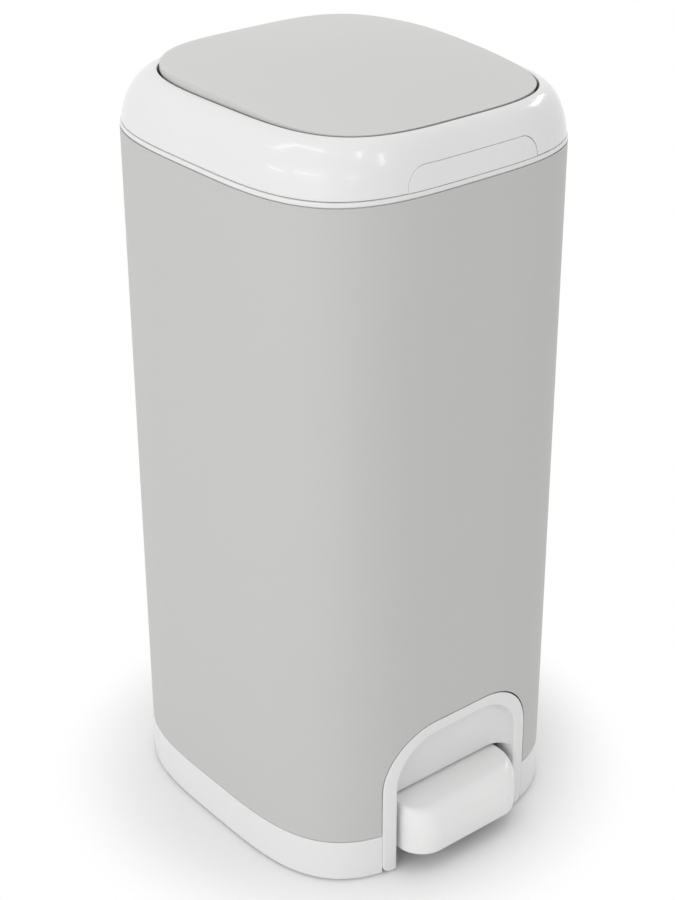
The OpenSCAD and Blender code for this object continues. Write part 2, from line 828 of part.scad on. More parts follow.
// Post with a round end that holds the lid's pin
module lid_ear(x) {
    along_x(x, x + ear_w) {
        translate([lid_pivot_y, lid_pivot_z]) circle(4);
        translate([lid_pivot_y - ear_depth, deck_z]) square([ear_depth, lid_pivot_z - deck_z]);
    }
}

module cassette_well() {
    slot_a = rod_cap_r + move_gap;
    deck_rim = head_wall + 1.6;
    hook_back = hook_y + hook_t + latch_travel;
    color("white") difference() {
        union() {
            translate([0, 0, deck_z]) linear_extrude(deck_t) polygon(body_outline(deck_rim));
            throat_prism(throat_end_z, deck_z - throat_end_z, throat_a + throat_wall, throat_r + throat_wall);
            throat_prism(throat_end_z, flange_t, flange_a, frame_corner);
            translate([0, 0, deck_z]) linear_extrude(well_top - deck_z) difference() {
                polygon(squircle(well_a, well_b, body_square, throat_y));
                polygon(squircle(well_a - well_wall, well_b - well_wall, body_square, throat_y));
            }
            lid_ear(ear_x);
            mirror([1, 0, 0]) lid_ear(ear_x);
            box([-5, hook_back + 8, deck_z], [5, hook_back + 11, tab_plate_z + 7]);
        }
        throat_prism(throat_end_z - 1, deck_z + deck_t + 2 - throat_end_z, throat_a, throat_r);
        translate([0, 0, deck_z - 1]) linear_extrude(deck_t + 2) {
            translate([-tab_w / 2 - 3, front_y]) square([tab_w + 6, 10]);
            translate([-hook_w / 2 - 1, front_y]) square([hook_w + 2, hook_back + 1 - front_y]);
            translate([-slot_a, rod_top_y - 8]) square([2 * slot_a, rod_cap_r + 9.2]);
            for (s = [-1, 1]) translate([s * hinge_screw_x, hinge_screw_y]) circle(screw_r);
        }
        rod_x(-body_a, body_a, lid_pivot_y, lid_pivot_z, lid_pin_d / 2);
        corners(clamp_screw_x, clamp_screw_x, throat_y) translate([0, 0, throat_end_z - 1])
            cylinder(h = flange_t + 2, r = screw_r);
    }
}

module refill_cassette() {
    base = deck_z + deck_t + seat_gap;
    a = well_a - well_wall - 1;
    b = well_b - well_wall - 1;
    color("lightsteelblue") difference() {
        translate([0, 0, base]) linear_extrude(cassette_h) polygon(squircle(a, b, body_square, throat_y));
        throat_prism(base - 1, cassette_h + 2, throat_a, throat_r);
        translate([0, 0, base + 1.5]) linear_extrude(cassette_h - 3) difference() {
            polygon(squircle(a - 1.5, b - 1.5, body_square, throat_y));
            translate([0, throat_y]) round_square(throat_a + 1.5, throat_r);
        }
        translate([0, throat_y, base + 3]) linear_extrude(cassette_h) difference() {
            round_square(throat_a + 4.5, throat_r);
            round_square(throat_a + 1.5, throat_r);
        }
    }
}

module clamp_frame() {
    low = frame_top_z - frame_h;
    color("white") difference() {
        union() {
            throat_prism(low, frame_h, throat_a + frame_wall, frame_corner + frame_wall);
            throat_prism(frame_top_z - flange_t, flange_t, flange_a, frame_corner);
        }
        throat_prism(low - 1, frame_h + 2, throat_a, frame_corner);
        for (x = [-flap_pivot_x, flap_pivot_x])
            rod_y(-body_b, body_b, x, flap_z, flap_pin_r);
        corners(clamp_screw_x, clamp_screw_x, throat_y) translate([0, 0, frame_top_z - flange_t - 1])
            cylinder(h = flange_t + 2, r = screw_r);
    }
}

module flap_pins() {
    reach = throat_a + frame_wall + 0.5;
    color("silver") for (x = [-flap_pivot_x, flap_pivot_x])
        rod_y(throat_y - reach, throat_y + reach, x, flap_z, flap_pin_r);
}

module flap_spring(x) {
    color("silver") translate([x, throat_y - flap_spring_len / 2, flap_z]) rotate([-90, 0, 0])
        coil(flap_pin_r + 1, 0.5, 5, flap_spring_len);
}

module flap_spring_left() { flap_spring(-flap_pivot_x); }

module flap_spring_right() { flap_spring(flap_pivot_x); }

module hinge_arms() {
    color("white") mirrored() difference() {
        along_x(hinge_arm_x, hinge_arm_x + hinge_arm_w) {
            translate([hinge_y, hinge_z]) circle(hinge_barrel_r);
            translate([hinge_arm_end, hinge_arm_z])
                square([hinge_y - hinge_arm_end, hinge_z + hinge_barrel_r - hinge_arm_z]);
        }
        rod_x(0, body_a, hinge_y, hinge_z, hinge_pin_r + turn_gap);
        translate([hinge_screw_x, hinge_screw_y, 0]) cylinder(h = 2 * head_top, r = screw_r + seat_gap);
    }
}

module lid_pin() {
    reach = ear_x + ear_w + 0.8;
    color("silver") rod_x(-reach, reach, lid_pivot_y, lid_pivot_z, lid_pin_d / 2);
}

module head_screws() {
    color("silver") {
        for (s = [-1, 1])
            translate([s * hinge_screw_x, hinge_screw_y, hinge_z + hinge_barrel_r - hinge_screw_len])
                pan_screw(screw_r, hinge_screw_len);
        corners(clamp_screw_x, clamp_screw_x, throat_y)
            translate([0, 0, throat_end_z + flange_t - clamp_screw_len]) pan_screw(screw_r, clamp_screw_len);
    }
}

module latch_spring() {
    from = hook_y + hook_t + 0.3;
    to = hook_y + hook_t + latch_travel + latch_spring_len;
    color("silver") translate([0, from, tab_plate_z + 2]) rotate([-90, 0, 0])
        coil(latch_spring_r, 0.5, 5, to - from);
}

// ---- throat flaps ----

// Flap that hinges at its left edge and reaches the middle
module flap_left() {
    low = throat_y - throat_a + move_gap;
    high = throat_y + throat_a - move_gap;
    spring_half = flap_spring_len / 2 + 0.5;
    color("white") difference() {
        union() {
            box([-flap_pivot_x, low, flap_z - flap_t / 2], [-flap_gap, high, flap_z + flap_t / 2]);
            for (y = [low + 12, throat_y - 8, throat_y + 6.5, high - 13.5])
                box([2 - flap_pivot_x, y, flap_z - flap_t / 2 - 4], [-flap_gap - 6, y + 1.5, flap_z]);
            rod_y(low, high, -flap_pivot_x, flap_z, flap_barrel_r);
        }
        rod_y(low - 1, high + 1, -flap_pivot_x, flap_z, flap_pin_r + turn_gap);
        box([-throat_a, throat_y - spring_half, flap_z - 5],
            [4.5 - flap_pivot_x, throat_y + spring_half, flap_z + 5]);
    }
}

module flap_right() { mirror([1, 0, 0]) flap_left(); }

// ---- latch ----

module release_tab() {
    color("white") intersection() {
        collar_skin();
        along_y(front_y - 1, lid_y - lid_b + 10) intersection() {
            tab_outline(0);
            translate([-tab_w, head_z]) square([2 * tab_w, 2 * tab_h]);
        }
    }
}

module latch_hook() {
    half = hook_w / 2;
    inner = front_y + head_wall + 1.6;
    color("white") {
        box([-half, inner, tab_plate_z], [half, hook_y + hook_t, tab_plate_z + 4]);
        box([-half, hook_y, hook_low_z], [half, hook_y + hook_t, tab_plate_z + 4]);
        along_x(-half, half) polygon([[hook_y + 1, hook_low_z], [hook_y + 1, hook_low_z + 4],
            [keeper_y + hook_gap, hook_low_z + 4], [keeper_y + hook_gap, hook_low_z + 3]]);
    }
}

// ---- lid ----

module lid_cover() {
    outer = [0.985, 0.95, 0.88, 0.78, 0.64, 0.46, 0.25, 0.04];
    inner = [0.04, 0.3, 0.55, 0.75, 0.9, 0.96];
    color("lightgray") difference() {
        loft(concat(
            [for (k = inner) lid_ring(k, head_top + dome(k) - lid_wall)],
            [lid_ring(1, head_top, lid_wall), lid_ring(1, lid_skirt_z, lid_wall),
                lid_ring(1, lid_skirt_z), lid_ring(1, head_top)],
            [for (k = outer) lid_ring(k, head_top + dome(k))]));
        mirrored() box([ear_x - 0.7, lid_pivot_y - ear_room, lid_skirt_z - 1],
            [ear_x + ear_w + 1.2, lid_rear_y + 1, lid_pivot_z - 1.2]);
    }
}

module lid_liner() {
    a = lid_a - liner_inset;
    b = lid_b - liner_inset;
    barrel_x = ear_x - 9.5;
    color("white") difference() {
        union() {
            translate([0, 0, liner_z]) linear_extrude(liner_t) polygon(squircle(a, b, lid_square, lid_y));
            translate([0, 0, liner_z]) linear_extrude(liner_t + 4) difference() {
                polygon(squircle(a, b, lid_square, lid_y));
                polygon(squircle(a - 2, b - 2, lid_square, lid_y));
            }
            mirrored() along_x(barrel_x, ear_x - move_gap) {
                translate([lid_pivot_y, lid_pivot_z]) circle(lid_barrel_r);
                translate([lid_pivot_y - lid_barrel_r, liner_z])
                    square([2 * lid_barrel_r, lid_pivot_z - liner_z]);
            }
            translate([0, filter_y, liner_z - filter_h]) cylinder(h = filter_h + 1, r = filter_r + 2);
        }
        mirrored() box([ear_x - move_gap, lid_pivot_y - ear_room, liner_z - 1],
            [ear_x + ear_w + 1.2, lid_rear_y, lid_pivot_z + ear_room]);
        mirrored() rod_x(barrel_x - 1, ear_x, lid_pivot_y, lid_pivot_z, lid_pin_d / 2 + turn_gap);
        box([-crank_room.x, crank_y - crank_room.y, liner_z - 1],
            [crank_room.x, lid_rear_y, lid_pivot_z + ear_room]);
        translate([0, filter_y, liner_z - filter_h - 1]) cylinder(h = filter_h + 1, r = filter_r);
        mirrored() translate([crank_screw_x, crank_screw_y, liner_z - 1]) cylinder(h = 5, r = screw_r);
    }
}

module lid_seal() {
    color("dimgray") translate([0, 0, liner_z - seal_h]) linear_extrude(seal_h) difference() {
        polygon(squircle(well_a + 1, well_b + 1, body_square, throat_y));
        polygon(squircle(well_a + 1 - seal_w, well_b + 1 - seal_w, body_square, throat_y));
    }
}

module lid_crank() {
    reach_y = lid_pivot_y - crank_y;
    color("white") difference() {
        union() {
            along_x(-crank_half_w, crank_half_w) {
                translate([crank_y, crank_z]) circle(crank_tip_r);
                translate([lid_pivot_y, lid_pivot_z]) circle(lid_barrel_r);
                translate([crank_y, crank_z]) rotate(crank_half) translate([0, -2.7]) square([crank_r, 5.4]);
            }
            box([-flange_half_w, crank_y, liner_z - 2.3],
                [flange_half_w, crank_screw_y + crank_screw_y - crank_y, liner_z - seat_gap]);
        }
        rod_x(-crank_half_w - 1, crank_half_w + 1, lid_pivot_y, lid_pivot_z, lid_pin_d / 2 + turn_gap);
        mirrored() translate([crank_screw_x, crank_screw_y, liner_z - 5])
            cylinder(h = 5, r = screw_r + seat_gap);
    }
}

module crank_screws() {
    color("silver") mirrored() translate([crank_screw_x, crank_screw_y, liner_z + liner_t - 0.5])
        mirror([0, 0, 1]) pan_screw(screw_r, 4.4);
}

module carbon_filter() {
    color("black") translate([0, filter_y, liner_z - filter_h + 0.2])
        cylinder(h = filter_h - 0.4, r = filter_r - 0.3);
}

module filter_cover() {
    color("white") translate([0, filter_y, liner_z - filter_h - 1.6]) difference() {
        cylinder(h = 1.5, r = filter_r + 2);
        for (i = [-3 : 3]) translate([-filter_r * 0.65, i * slot_pitch - slot_w / 2, -1])
            cube([filter_r * 1.3, slot_w, 4]);
    }
}

body_shell();
top_rim();
base_skirt();
pedal_surround();
pail_floor();
rubber_feet();
floor_screws();
pedal_axle();
axle_clips();
pedal_spring();
rod_channel();
rod_guides();
hinge_bracket();
hinge_pin();
bracket_rivets();
latch_keeper();
pedal();
pedal_lever();
pedal_screws();
lift_rod();
rod_foot();
lift_arm();
head_collar();
cassette_well();
refill_cassette();
clamp_frame();
flap_pins();
flap_spring_left();
flap_spring_right();
hinge_arms();
lid_pin();
head_screws();
latch_spring();
flap_left();
flap_right();
release_tab();
latch_hook();
lid_cover();
lid_liner();
lid_seal();
lid_crank();
crank_screws();
carbon_filter();
filter_cover();
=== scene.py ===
"""Dresses a pedal nappy bin: a painted steel sleeve, a moulded base with its pedal, and a hinged head
that holds the film cassette, the throat flaps and the domed lid. Sizes are in millimetres until they
reach a mesh."""

from __future__ import annotations

import json
import logging
import math
import sys
from dataclasses import dataclass, field, replace
from enum import Enum
from typing import Callable, Iterable, Sequence

import bmesh
import bpy
from mathutils import Matrix, Quaternion, Vector

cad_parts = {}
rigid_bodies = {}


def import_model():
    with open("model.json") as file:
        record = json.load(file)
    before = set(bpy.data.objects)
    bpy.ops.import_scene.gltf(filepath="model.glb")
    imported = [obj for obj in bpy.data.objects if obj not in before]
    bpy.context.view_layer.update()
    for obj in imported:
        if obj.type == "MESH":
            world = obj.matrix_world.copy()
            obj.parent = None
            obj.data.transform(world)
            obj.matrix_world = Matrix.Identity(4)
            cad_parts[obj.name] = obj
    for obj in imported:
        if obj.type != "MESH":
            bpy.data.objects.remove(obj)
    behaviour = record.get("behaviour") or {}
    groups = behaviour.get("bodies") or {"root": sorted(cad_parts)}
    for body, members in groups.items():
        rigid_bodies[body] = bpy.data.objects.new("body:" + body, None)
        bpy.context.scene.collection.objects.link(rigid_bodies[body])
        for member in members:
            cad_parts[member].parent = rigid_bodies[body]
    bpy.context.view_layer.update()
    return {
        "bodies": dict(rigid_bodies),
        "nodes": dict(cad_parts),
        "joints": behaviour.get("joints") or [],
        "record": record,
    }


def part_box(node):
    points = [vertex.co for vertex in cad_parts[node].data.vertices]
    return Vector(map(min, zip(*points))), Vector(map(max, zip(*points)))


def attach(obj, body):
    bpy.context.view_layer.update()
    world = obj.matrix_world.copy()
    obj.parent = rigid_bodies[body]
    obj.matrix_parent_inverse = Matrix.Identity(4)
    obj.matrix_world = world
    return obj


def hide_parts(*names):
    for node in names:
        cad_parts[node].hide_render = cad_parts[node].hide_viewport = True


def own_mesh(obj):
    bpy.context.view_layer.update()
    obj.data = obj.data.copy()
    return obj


LOG = logging.getLogger("nappy_bin")
MM = 0.001  # a millimetre in metres; the lengths below are in millimetres
SHARP = math.radians(32)  # the least angle of an edge that stays sharp
FLAT = math.radians(0.4)  # the greatest angle between two triangles of one flat face
FINE = 0.0001  # how close doubled points of a recipe lie
PAST = 1.0  # how far a cutter goes past what it cuts
ROUGHNESS_SPREAD = 0.3  # how much a finish's roughness drifts, as a share of it
PLASTIC_IOR = 1.5
LID_SKIRT = 5.0  # how far the lid's edge goes down into the head
SCREW_SHANK = 1.6  # a screw's radius
HEAD_SHARE = 2.2  # how much wider its head is
SCREW_HEAD = HEAD_SHARE * SCREW_SHANK
RIVET_HEAD = 3.0  # a rivet head's radius
CLOUD_DETAIL = 3.0  # the detail of the noise that a finish drifts by
Point2 = tuple[float, float]
Point3 = tuple[float, float, float]


def put(name: str, data: bpy.types.ID) -> bpy.types.Object:
    """Makes an object and links it to the scene.

    Args:
        name: its name.
        data: its mesh, lamp or camera.

    Returns:
        The object.
    """
    obj = bpy.data.objects.new(name, data)
    bpy.context.scene.collection.objects.link(obj)
    return obj


def plain_mesh(name: str, points: Iterable[Point3], faces: Sequence[Sequence[int]] = ()) -> bpy.types.Mesh:
    """Makes a mesh.

    Args:
        name: its name.
        points: its points in millimetres.
        faces: its faces, as indices of the points.

    Returns:
        The mesh.
    """
    mesh = bpy.data.meshes.new(name)
    mesh.from_pydata([(x * MM, y * MM, z * MM) for x, y, z in points], [], faces)
    return mesh


# ---- node trees ----


class Num:
    """A number in a node tree, which takes part in plain arithmetic."""

    def __init__(self, forge: "Forge", socket: object) -> None:
        """Keeps the tree and the socket, or the plain number, that the value comes from."""
        self.forge = forge
        self.socket = socket

    def op(self, operation: str, *others: object) -> "Num":
        """Adds one Math node.

        Args:
            operation: the Math node's operation.
            others: the operation's further values.

        Returns:
            The result.
        """
        node = self.forge.tree.nodes.new("ShaderNodeMath")
        node.operation = operation
        for port, value in zip(node.inputs, (self, *others)):
            self.forge.feed(port, value)
        return Num(self.forge, node.outputs[0])

    def __add__(self, other: object) -> "Num":
        """Sum."""
        return self.op("ADD", other)

    def __sub__(self, other: object) -> "Num":
        """Difference."""
        return self.op("SUBTRACT", other)

    def __mul__(self, other: object) -> "Num":
        """Product."""
        return self.op("MULTIPLY", other)

    def __truediv__(self, other: object) -> "Num":
        """Quotient."""
        return self.op("DIVIDE", other)

    def __mod__(self, other: object) -> "Num":
        """Remainder."""
        return self.op("MODULO", other)

    def signed_power(self, power: object) -> "Num":
        """The value's size raised to a power, with the value's sign."""
        return self.op("SIGN") * self.op("ABSOLUTE").op("POWER", power)


class Forge:
    """Writes one node tree, in Geometry Nodes or in a material."""

    def __init__(self, tree: bpy.types.NodeTree) -> None:
        """Empties a tree and starts on it."""
        tree.nodes.clear()
        self.tree = tree

    def feed(self, port: bpy.types.NodeSocket, value: object) -> None:
        """Links a value to a port, or writes it there.

        Args:
            port: the input socket.
            value: a Num, a socket, or a plain value.
        """
        source = value.socket if isinstance(value, Num) else value
        if isinstance(source, bpy.types.NodeSocket):
            self.tree.links.new(source, port)
        else:
            port.default_value = source

    def node(self, kind: str, ports: dict[object, object] | None = None,
             **settings: object) -> bpy.types.Node:
        """Adds a node.

        Args:
            kind: the node's type.
            ports: values for its inputs, by name or index.
            settings: values for its own properties.

        Returns:
            The node.
        """
        made = self.tree.nodes.new(kind)
        for name, value in settings.items():
            setattr(made, name, value)
        for name, value in (ports or {}).items():
            self.feed(made.inputs[name], value)
        return made

    def num(self, socket: object) -> Num:
        """Wraps a socket as a Num."""
        return Num(self, socket)


class GeometryRecipe(Forge):
    """A Geometry Nodes tree with named inputs. It ends in Realize Instances and Set Material."""

    def __init__(self, name: str) -> None:
        """Starts a tree with its geometry socket.

        Args:
            name: the tree's name.
        """
        super().__init__(bpy.data.node_groups.new(name, "GeometryNodeTree"))
        self.names: dict[str, str] = {}
        self.tree.interface.new_socket("Geometry", in_out="INPUT", socket_type="NodeSocketGeometry")
        self.tree.interface.new_socket("Geometry", in_out="OUTPUT", socket_type="NodeSocketGeometry")
        self.start = self.tree.nodes.new("NodeGroupInput")
        self.geometry = self.start.outputs["Geometry"]

    def entry(self, name: str, kind: str = "Float") -> Num:
        """Adds a named input.

        Args:
            name: the input's name.
            kind: Float, Int, Vector, Object or Material.

        Returns:
            Its value in the tree.
        """
        made = self.tree.interface.new_socket(name, in_out="INPUT", socket_type=f"NodeSocket{kind}")
        self.names[name] = made.identifier
        return self.num(self.start.outputs[name])

    def close(self, geometry: bpy.types.NodeSocket) -> None:
        """Ends the tree.

        Args:
            geometry: what the tree has made.
        """
        material = self.entry("Material", "Material")
        shade = self.node("GeometryNodeSetShadeSmooth", {"Geometry": geometry})
        real = self.node("GeometryNodeRealizeInstances", {"Geometry": shade.outputs[0]})
        dress = self.node("GeometryNodeSetMaterial", {"Geometry": real.outputs[0], "Material": material})
        self.node("NodeGroupOutput", {"Geometry": dress.outputs[0]})

    def run(self, name: str, mesh: bpy.types.Mesh, material: bpy.types.Material, **values: object) -> "Work":
        """Runs the tree on a mesh and keeps the result as a plain mesh.

        Args:
            name: the new piece's name.
            mesh: what the tree starts from.
            material: the piece's finish.
            values: the tree's inputs by name, with _ for each space.

        Returns:
            The piece.
        """
        seed = put(name + "_seed", mesh)
        modifier = seed.modifiers.new("recipe", "NODES")
        modifier.node_group = self.tree
        for key, value in {**values, "Material": material}.items():
            modifier[self.names[key.replace("_", " ")]] = value
        made = bpy.data.meshes.new_from_object(seed.evaluated_get(bpy.context.evaluated_depsgraph_get()))
        bpy.data.objects.remove(seed)
        return Work.of_mesh(name, made, material)


# ---- meshes ----


class Work:
    """A piece on the bench: a mesh object that is cut, joined and rounded before it goes on its body."""

    def __init__(self, obj: bpy.types.Object) -> None:
        """Keeps the object."""
        self.obj = obj

    @classmethod
    def of_mesh(cls, name: str, mesh: bpy.types.Mesh, material: bpy.types.Material | None = None) -> "Work":
        """Puts a mesh in the scene.

        Args:
            name: the piece's name.
            mesh: its mesh.
            material: its finish, where it has one yet.

        Returns:
            The piece.
        """
        mesh.name = name
        if material:
            mesh.materials.clear()
            mesh.materials.append(material)
        return cls(put(name, mesh))

    @classmethod
    def of_faces(cls, name: str, points: Sequence[Point3], faces: Sequence[Sequence[int]]) -> "Work":
        """Makes a closed piece from points in millimetres and faces that index them."""
        return cls.of_mesh(name, plain_mesh(name, points, faces)).outwards()

    @classmethod
    def prism(cls, name: str, outline: Sequence[Point3], along: Point3) -> "Work":
        """Makes a prism.

        Args:
            name: the piece's name.
            outline: the corners of one end.
            along: the way from that end to the other.

        Returns:
            The piece.
        """
        count = len(outline)
        far = [(x + along[0], y + along[1], z + along[2]) for x, y, z in outline]
        sides = [(i, (i + 1) % count, (i + 1) % count + count, i + count) for i in range(count)]
        ends = [tuple(range(count)), tuple(range(2 * count - 1, count - 1, -1))]
        return cls.of_faces(name, [*outline, *far], [*sides, *ends])

    @classmethod
    def loft(cls, name: str, rings: Sequence[Sequence[Point3]]) -> "Work":
        """Makes a closed piece through rings, capped at both ends.

        Args:
            name: the piece's name.
            rings: its rings, all with the same number of points.

        Returns:
            The piece.
        """
        count = len(rings[0])
        last = (len(rings) - 1) * count
        sides = [(j + i, j + (i + 1) % count, j + count + (i + 1) % count, j + count + i)
                 for j in range(0, last, count) for i in range(count)]
        ends = [tuple(range(count)), tuple(range(last + count - 1, last - 1, -1))]
        return cls.of_faces(name, [point for ring in rings for point in ring], [*sides, *ends])

    @classmethod
    def turned(cls, name: str, profile: Sequence[Point2], sides: int = 48) -> "Work":
        """Turns a profile of radius and height about Z, closed at both ends on the axis."""
        turns = [math.tau * i / sides for i in range(sides)]
        return cls.loft(name, [[(r * math.cos(t), r * math.sin(t), z) for t in turns] for r, z in profile])

    @classmethod
    def block(cls, name: str, low: Point3, high: Point3) -> "Work":
        """Makes a block between two corners."""
        (x, y, z), (x2, y2, z2) = low, high
        return cls.prism(name, [(x, y, z), (x2, y, z), (x2, y2, z), (x, y2, z)], (0, 0, z2 - z))

    @classmethod
    def rod(cls, name: str, centre: Point3, radius: float, along: Point3, sides: int = 48) -> "Work":
        """Makes a round bar.

        Args:
            name: the piece's name.
            centre: the middle of one end.
            radius: its radius.
            along: the way to the other end.
            sides: the number of its sides.

        Returns:
            The piece.
        """
        axis = Vector(along).normalized()
        across = axis.orthogonal().normalized()
        other = axis.cross(across)
        turns = [math.tau * i / sides for i in range(sides)]
        outline = [tuple(Vector(centre) + radius * (math.cos(t) * across + math.sin(t) * other))
                   for t in turns]
        return cls.prism(name, outline, along)

    def edit(self, change: Callable[[bmesh.types.BMesh], object]) -> "Work":
        """Changes the mesh.

        Args:
            change: what changes it, given a copy in bmesh.

        Returns:
            This piece.
        """
        bm = bmesh.new()
        bm.from_mesh(self.obj.data)
        change(bm)
        bm.to_mesh(self.obj.data)
        bm.free()
        return self

    def modify(self, kind: str, **settings: object) -> "Work":
        """Runs a modifier and turns its result into the mesh.

        Args:
            kind: the modifier's type.
            settings: values for its properties.

        Returns:
            This piece.
        """
        modifier = self.obj.modifiers.new(kind.lower(), kind)
        for name, value in settings.items():
            setattr(modifier, name, value)
        old = self.obj.data
        materials = list(old.materials)
        graph = bpy.context.evaluated_depsgraph_get()
        self.obj.data = bpy.data.meshes.new_from_object(self.obj.evaluated_get(graph))
        self.obj.modifiers.clear()
        self.obj.data.materials.clear()
        for material in materials[:1]:
            self.obj.data.materials.append(material)
        self.obj.data.name = self.obj.name
        bpy.data.meshes.remove(old)
        return self

    def boolean(self, operation: str, *tools: "Work") -> "Work":
        """Cuts with other pieces, joins them or keeps what lies in them. They are used up.

        Args:
            operation: DIFFERENCE, UNION or INTERSECT.
            tools: the other pieces, taken one by one.

        Returns:
            This piece.
        """
        for tool in tools:
            self.modify("BOOLEAN", object=tool.obj, operation=operation, solver="EXACT")
            bpy.data.objects.remove(tool.obj)
        return self

    def cut(self, *tools: "Work") -> "Work":
        """Takes other pieces out of this one."""
        return self.boolean("DIFFERENCE", *tools)

    def join(self, *tools: "Work") -> "Work":
        """Fuses other pieces with this one."""
        return self.boolean("UNION", *tools)

    def thicken(self, wall: float) -> "Work":
        """Gives a skin a wall on the side away from its faces."""
        return self.modify("SOLIDIFY", thickness=wall * MM, offset=-1, use_even_offset=False)

    def move(self, matrix: Matrix) -> "Work":
        """Moves the mesh by a matrix whose shift is in metres."""
        self.obj.data.transform(matrix)
        return self

    def merge(self, distance: float = 0.002) -> "Work":
        """Merges points that lie closer than a distance in millimetres."""
        return self.edit(lambda bm: bmesh.ops.remove_doubles(bm, verts=bm.verts, dist=distance * MM))

    def outwards(self) -> "Work":
        """Turns the faces of a closed piece outwards."""
        return self.edit(lambda bm: bmesh.ops.recalc_face_normals(bm, faces=bm.faces))

    def closed(self) -> bool:
        """Tells whether the mesh is closed.

        Returns:
            True where every edge has two faces.
        """
        bm = bmesh.new()
        bm.from_mesh(self.obj.data)
        whole = all(edge.is_manifold for edge in bm.edges)
        bm.free()
        return whole

    def shade(self) -> "Work":
        """Shades smoothly, apart from the sharp edges.

        Returns:
            This piece.
        """

        def mark(bm: bmesh.types.BMesh) -> None:
            """Marks each edge by its angle.

            Args:
                bm: the mesh.
            """
            for face in bm.faces:
                face.smooth = True
            for edge in bm.edges:
                edge.smooth = len(edge.link_faces) == 2 and edge.calc_face_angle(math.pi) < SHARP

        return self.edit(mark).modify("WEIGHTED_NORMAL", keep_sharp=True, weight=60)


@dataclass(frozen=True)
class Section:
    """One level line of a skin: a superellipse at a height, in millimetres."""

    half_x: float
    half_y: float
    power: float
    centre_y: float
    height: float

    def drawn_in(self, inset: float, height: float) -> "Section":
        """The same line drawn in by inset, at another height."""
        return replace(self, half_x=self.half_x - inset, half_y=self.half_y - inset, height=height)

    def front_at(self, x: float) -> float:
        """The line's y at x, on its front side."""
        across = min(1.0, abs(x / self.half_x))
        return self.centre_y - self.half_y * (1 - across ** self.power) ** (1 / self.power)


SECTION_FIELDS = ("half_x", "half_y", "power", "centre_y", "height")


class SkinRecipe(GeometryRecipe):
    """Makes a skin through superellipse sections: closed on itself, or drawn to a point at both ends."""

    EVENNESS = 0.8  # how far the points are drawn towards the corners
    WELD = 1e-6  # the distance in metres at which the ends of the grid merge

    def __init__(self) -> None:
        """Writes the tree."""
        super().__init__("superellipse_skin")
        around = self.entry("Points Around", "Int")
        looped = self.entry("Looped", "Int")
        size = self.node("GeometryNodeAttributeDomainSize", {"Geometry": self.geometry})
        count = self.num(size.outputs["Point Count"])
        rows = count + looped
        grid = self.node("GeometryNodeMeshGrid", {"Vertices X": around + 1, "Vertices Y": rows})
        index = self.num(self.tree.nodes.new("GeometryNodeInputIndex").outputs[0])
        column = (index / rows).op("FLOOR")
        row = (index - column * rows) % count
        level = {name: self.sample(name, row) for name in SECTION_FIELDS}
        turn = (column % around) / around * math.tau
        across, ahead = (turn.op(k).signed_power(self.EVENNESS) for k in ("COSINE", "SINE"))
        radius = (across * across + ahead * ahead).op("SQRT")
        shape = self.num(2.0).op("DIVIDE", level["power"])
        x = (across / radius).signed_power(shape) * level["half_x"] * MM
        y = ((ahead / radius).signed_power(shape) * level["half_y"] + level["centre_y"]) * MM
        place = self.node("ShaderNodeCombineXYZ", {"X": x, "Y": y, "Z": level["height"] * MM})
        moved = self.node("GeometryNodeSetPosition",
                          {"Geometry": grid.outputs["Mesh"], "Position": place.outputs[0]})
        merged = self.node("GeometryNodeMergeByDistance",
                           {"Geometry": moved.outputs[0], "Distance": self.WELD})
        self.close(merged.outputs[0])

    def sample(self, name: str, row: Num) -> Num:
        """Reads a section's value.

        Args:
            name: the value's name.
            row: the section's index.

        Returns:
            The value at that row.
        """
        stored = self.node("GeometryNodeInputNamedAttribute", {"Name": name}, data_type="FLOAT")
        read = self.node("GeometryNodeSampleIndex",
                         {"Geometry": self.geometry, "Value": stored.outputs[0], "Index": row},
                         data_type="FLOAT", domain="POINT")
        return self.num(read.outputs[0])

    def skin(self, name: str, sections: Sequence[Section], material: bpy.types.Material, looped: bool = True,
             around: int = 288) -> Work:
        """Makes a closed skin.

        Args:
            name: the piece's name.
            sections: its level lines, in order round the wall.
            material: its finish.
            looped: whether the last section joins the first.
            around: the number of points in a level line.

        Returns:
            The piece.
        """
        mesh = plain_mesh(name + "_sections", [(0, 0, i) for i in range(len(sections))])
        for key in SECTION_FIELDS:
            layer = mesh.attributes.new(key, "FLOAT", "POINT")
            layer.data.foreach_set("value", [getattr(s, key) for s in sections])
        return self.run(name, mesh, material, Points_Around=around, Looped=int(looped)).outwards()


class CoilRecipe(GeometryRecipe):
    """Makes a coil spring that stands on the origin along Z."""

    TURN_STEPS = 40
    WIRE_SIDES = 10

    def __init__(self) -> None:
        """Writes the tree."""
        super().__init__("coil_spring")
        radius = self.entry("Radius")
        wire = self.entry("Wire Radius")
        turns = self.entry("Turns")
        height = self.entry("Height")
        spiral = self.node("GeometryNodeCurveSpiral",
                           {"Resolution": self.TURN_STEPS, "Rotations": turns, "Start Radius": radius,
                            "End Radius": radius, "Height": height - wire * 2})
        profile = self.node("GeometryNodeCurvePrimitiveCircle",
                            {"Resolution": self.WIRE_SIDES, "Radius": wire})
        tube = self.node("GeometryNodeCurveToMesh",
                         {"Curve": spiral.outputs[0], "Profile Curve": profile.outputs[0], "Fill Caps": True})
        lift = self.node("ShaderNodeCombineXYZ", {"Z": wire})
        raised = self.node("GeometryNodeTransform",
                           {"Geometry": tube.outputs[0], "Translation": lift.outputs[0]})
        self.close(raised.outputs[0])


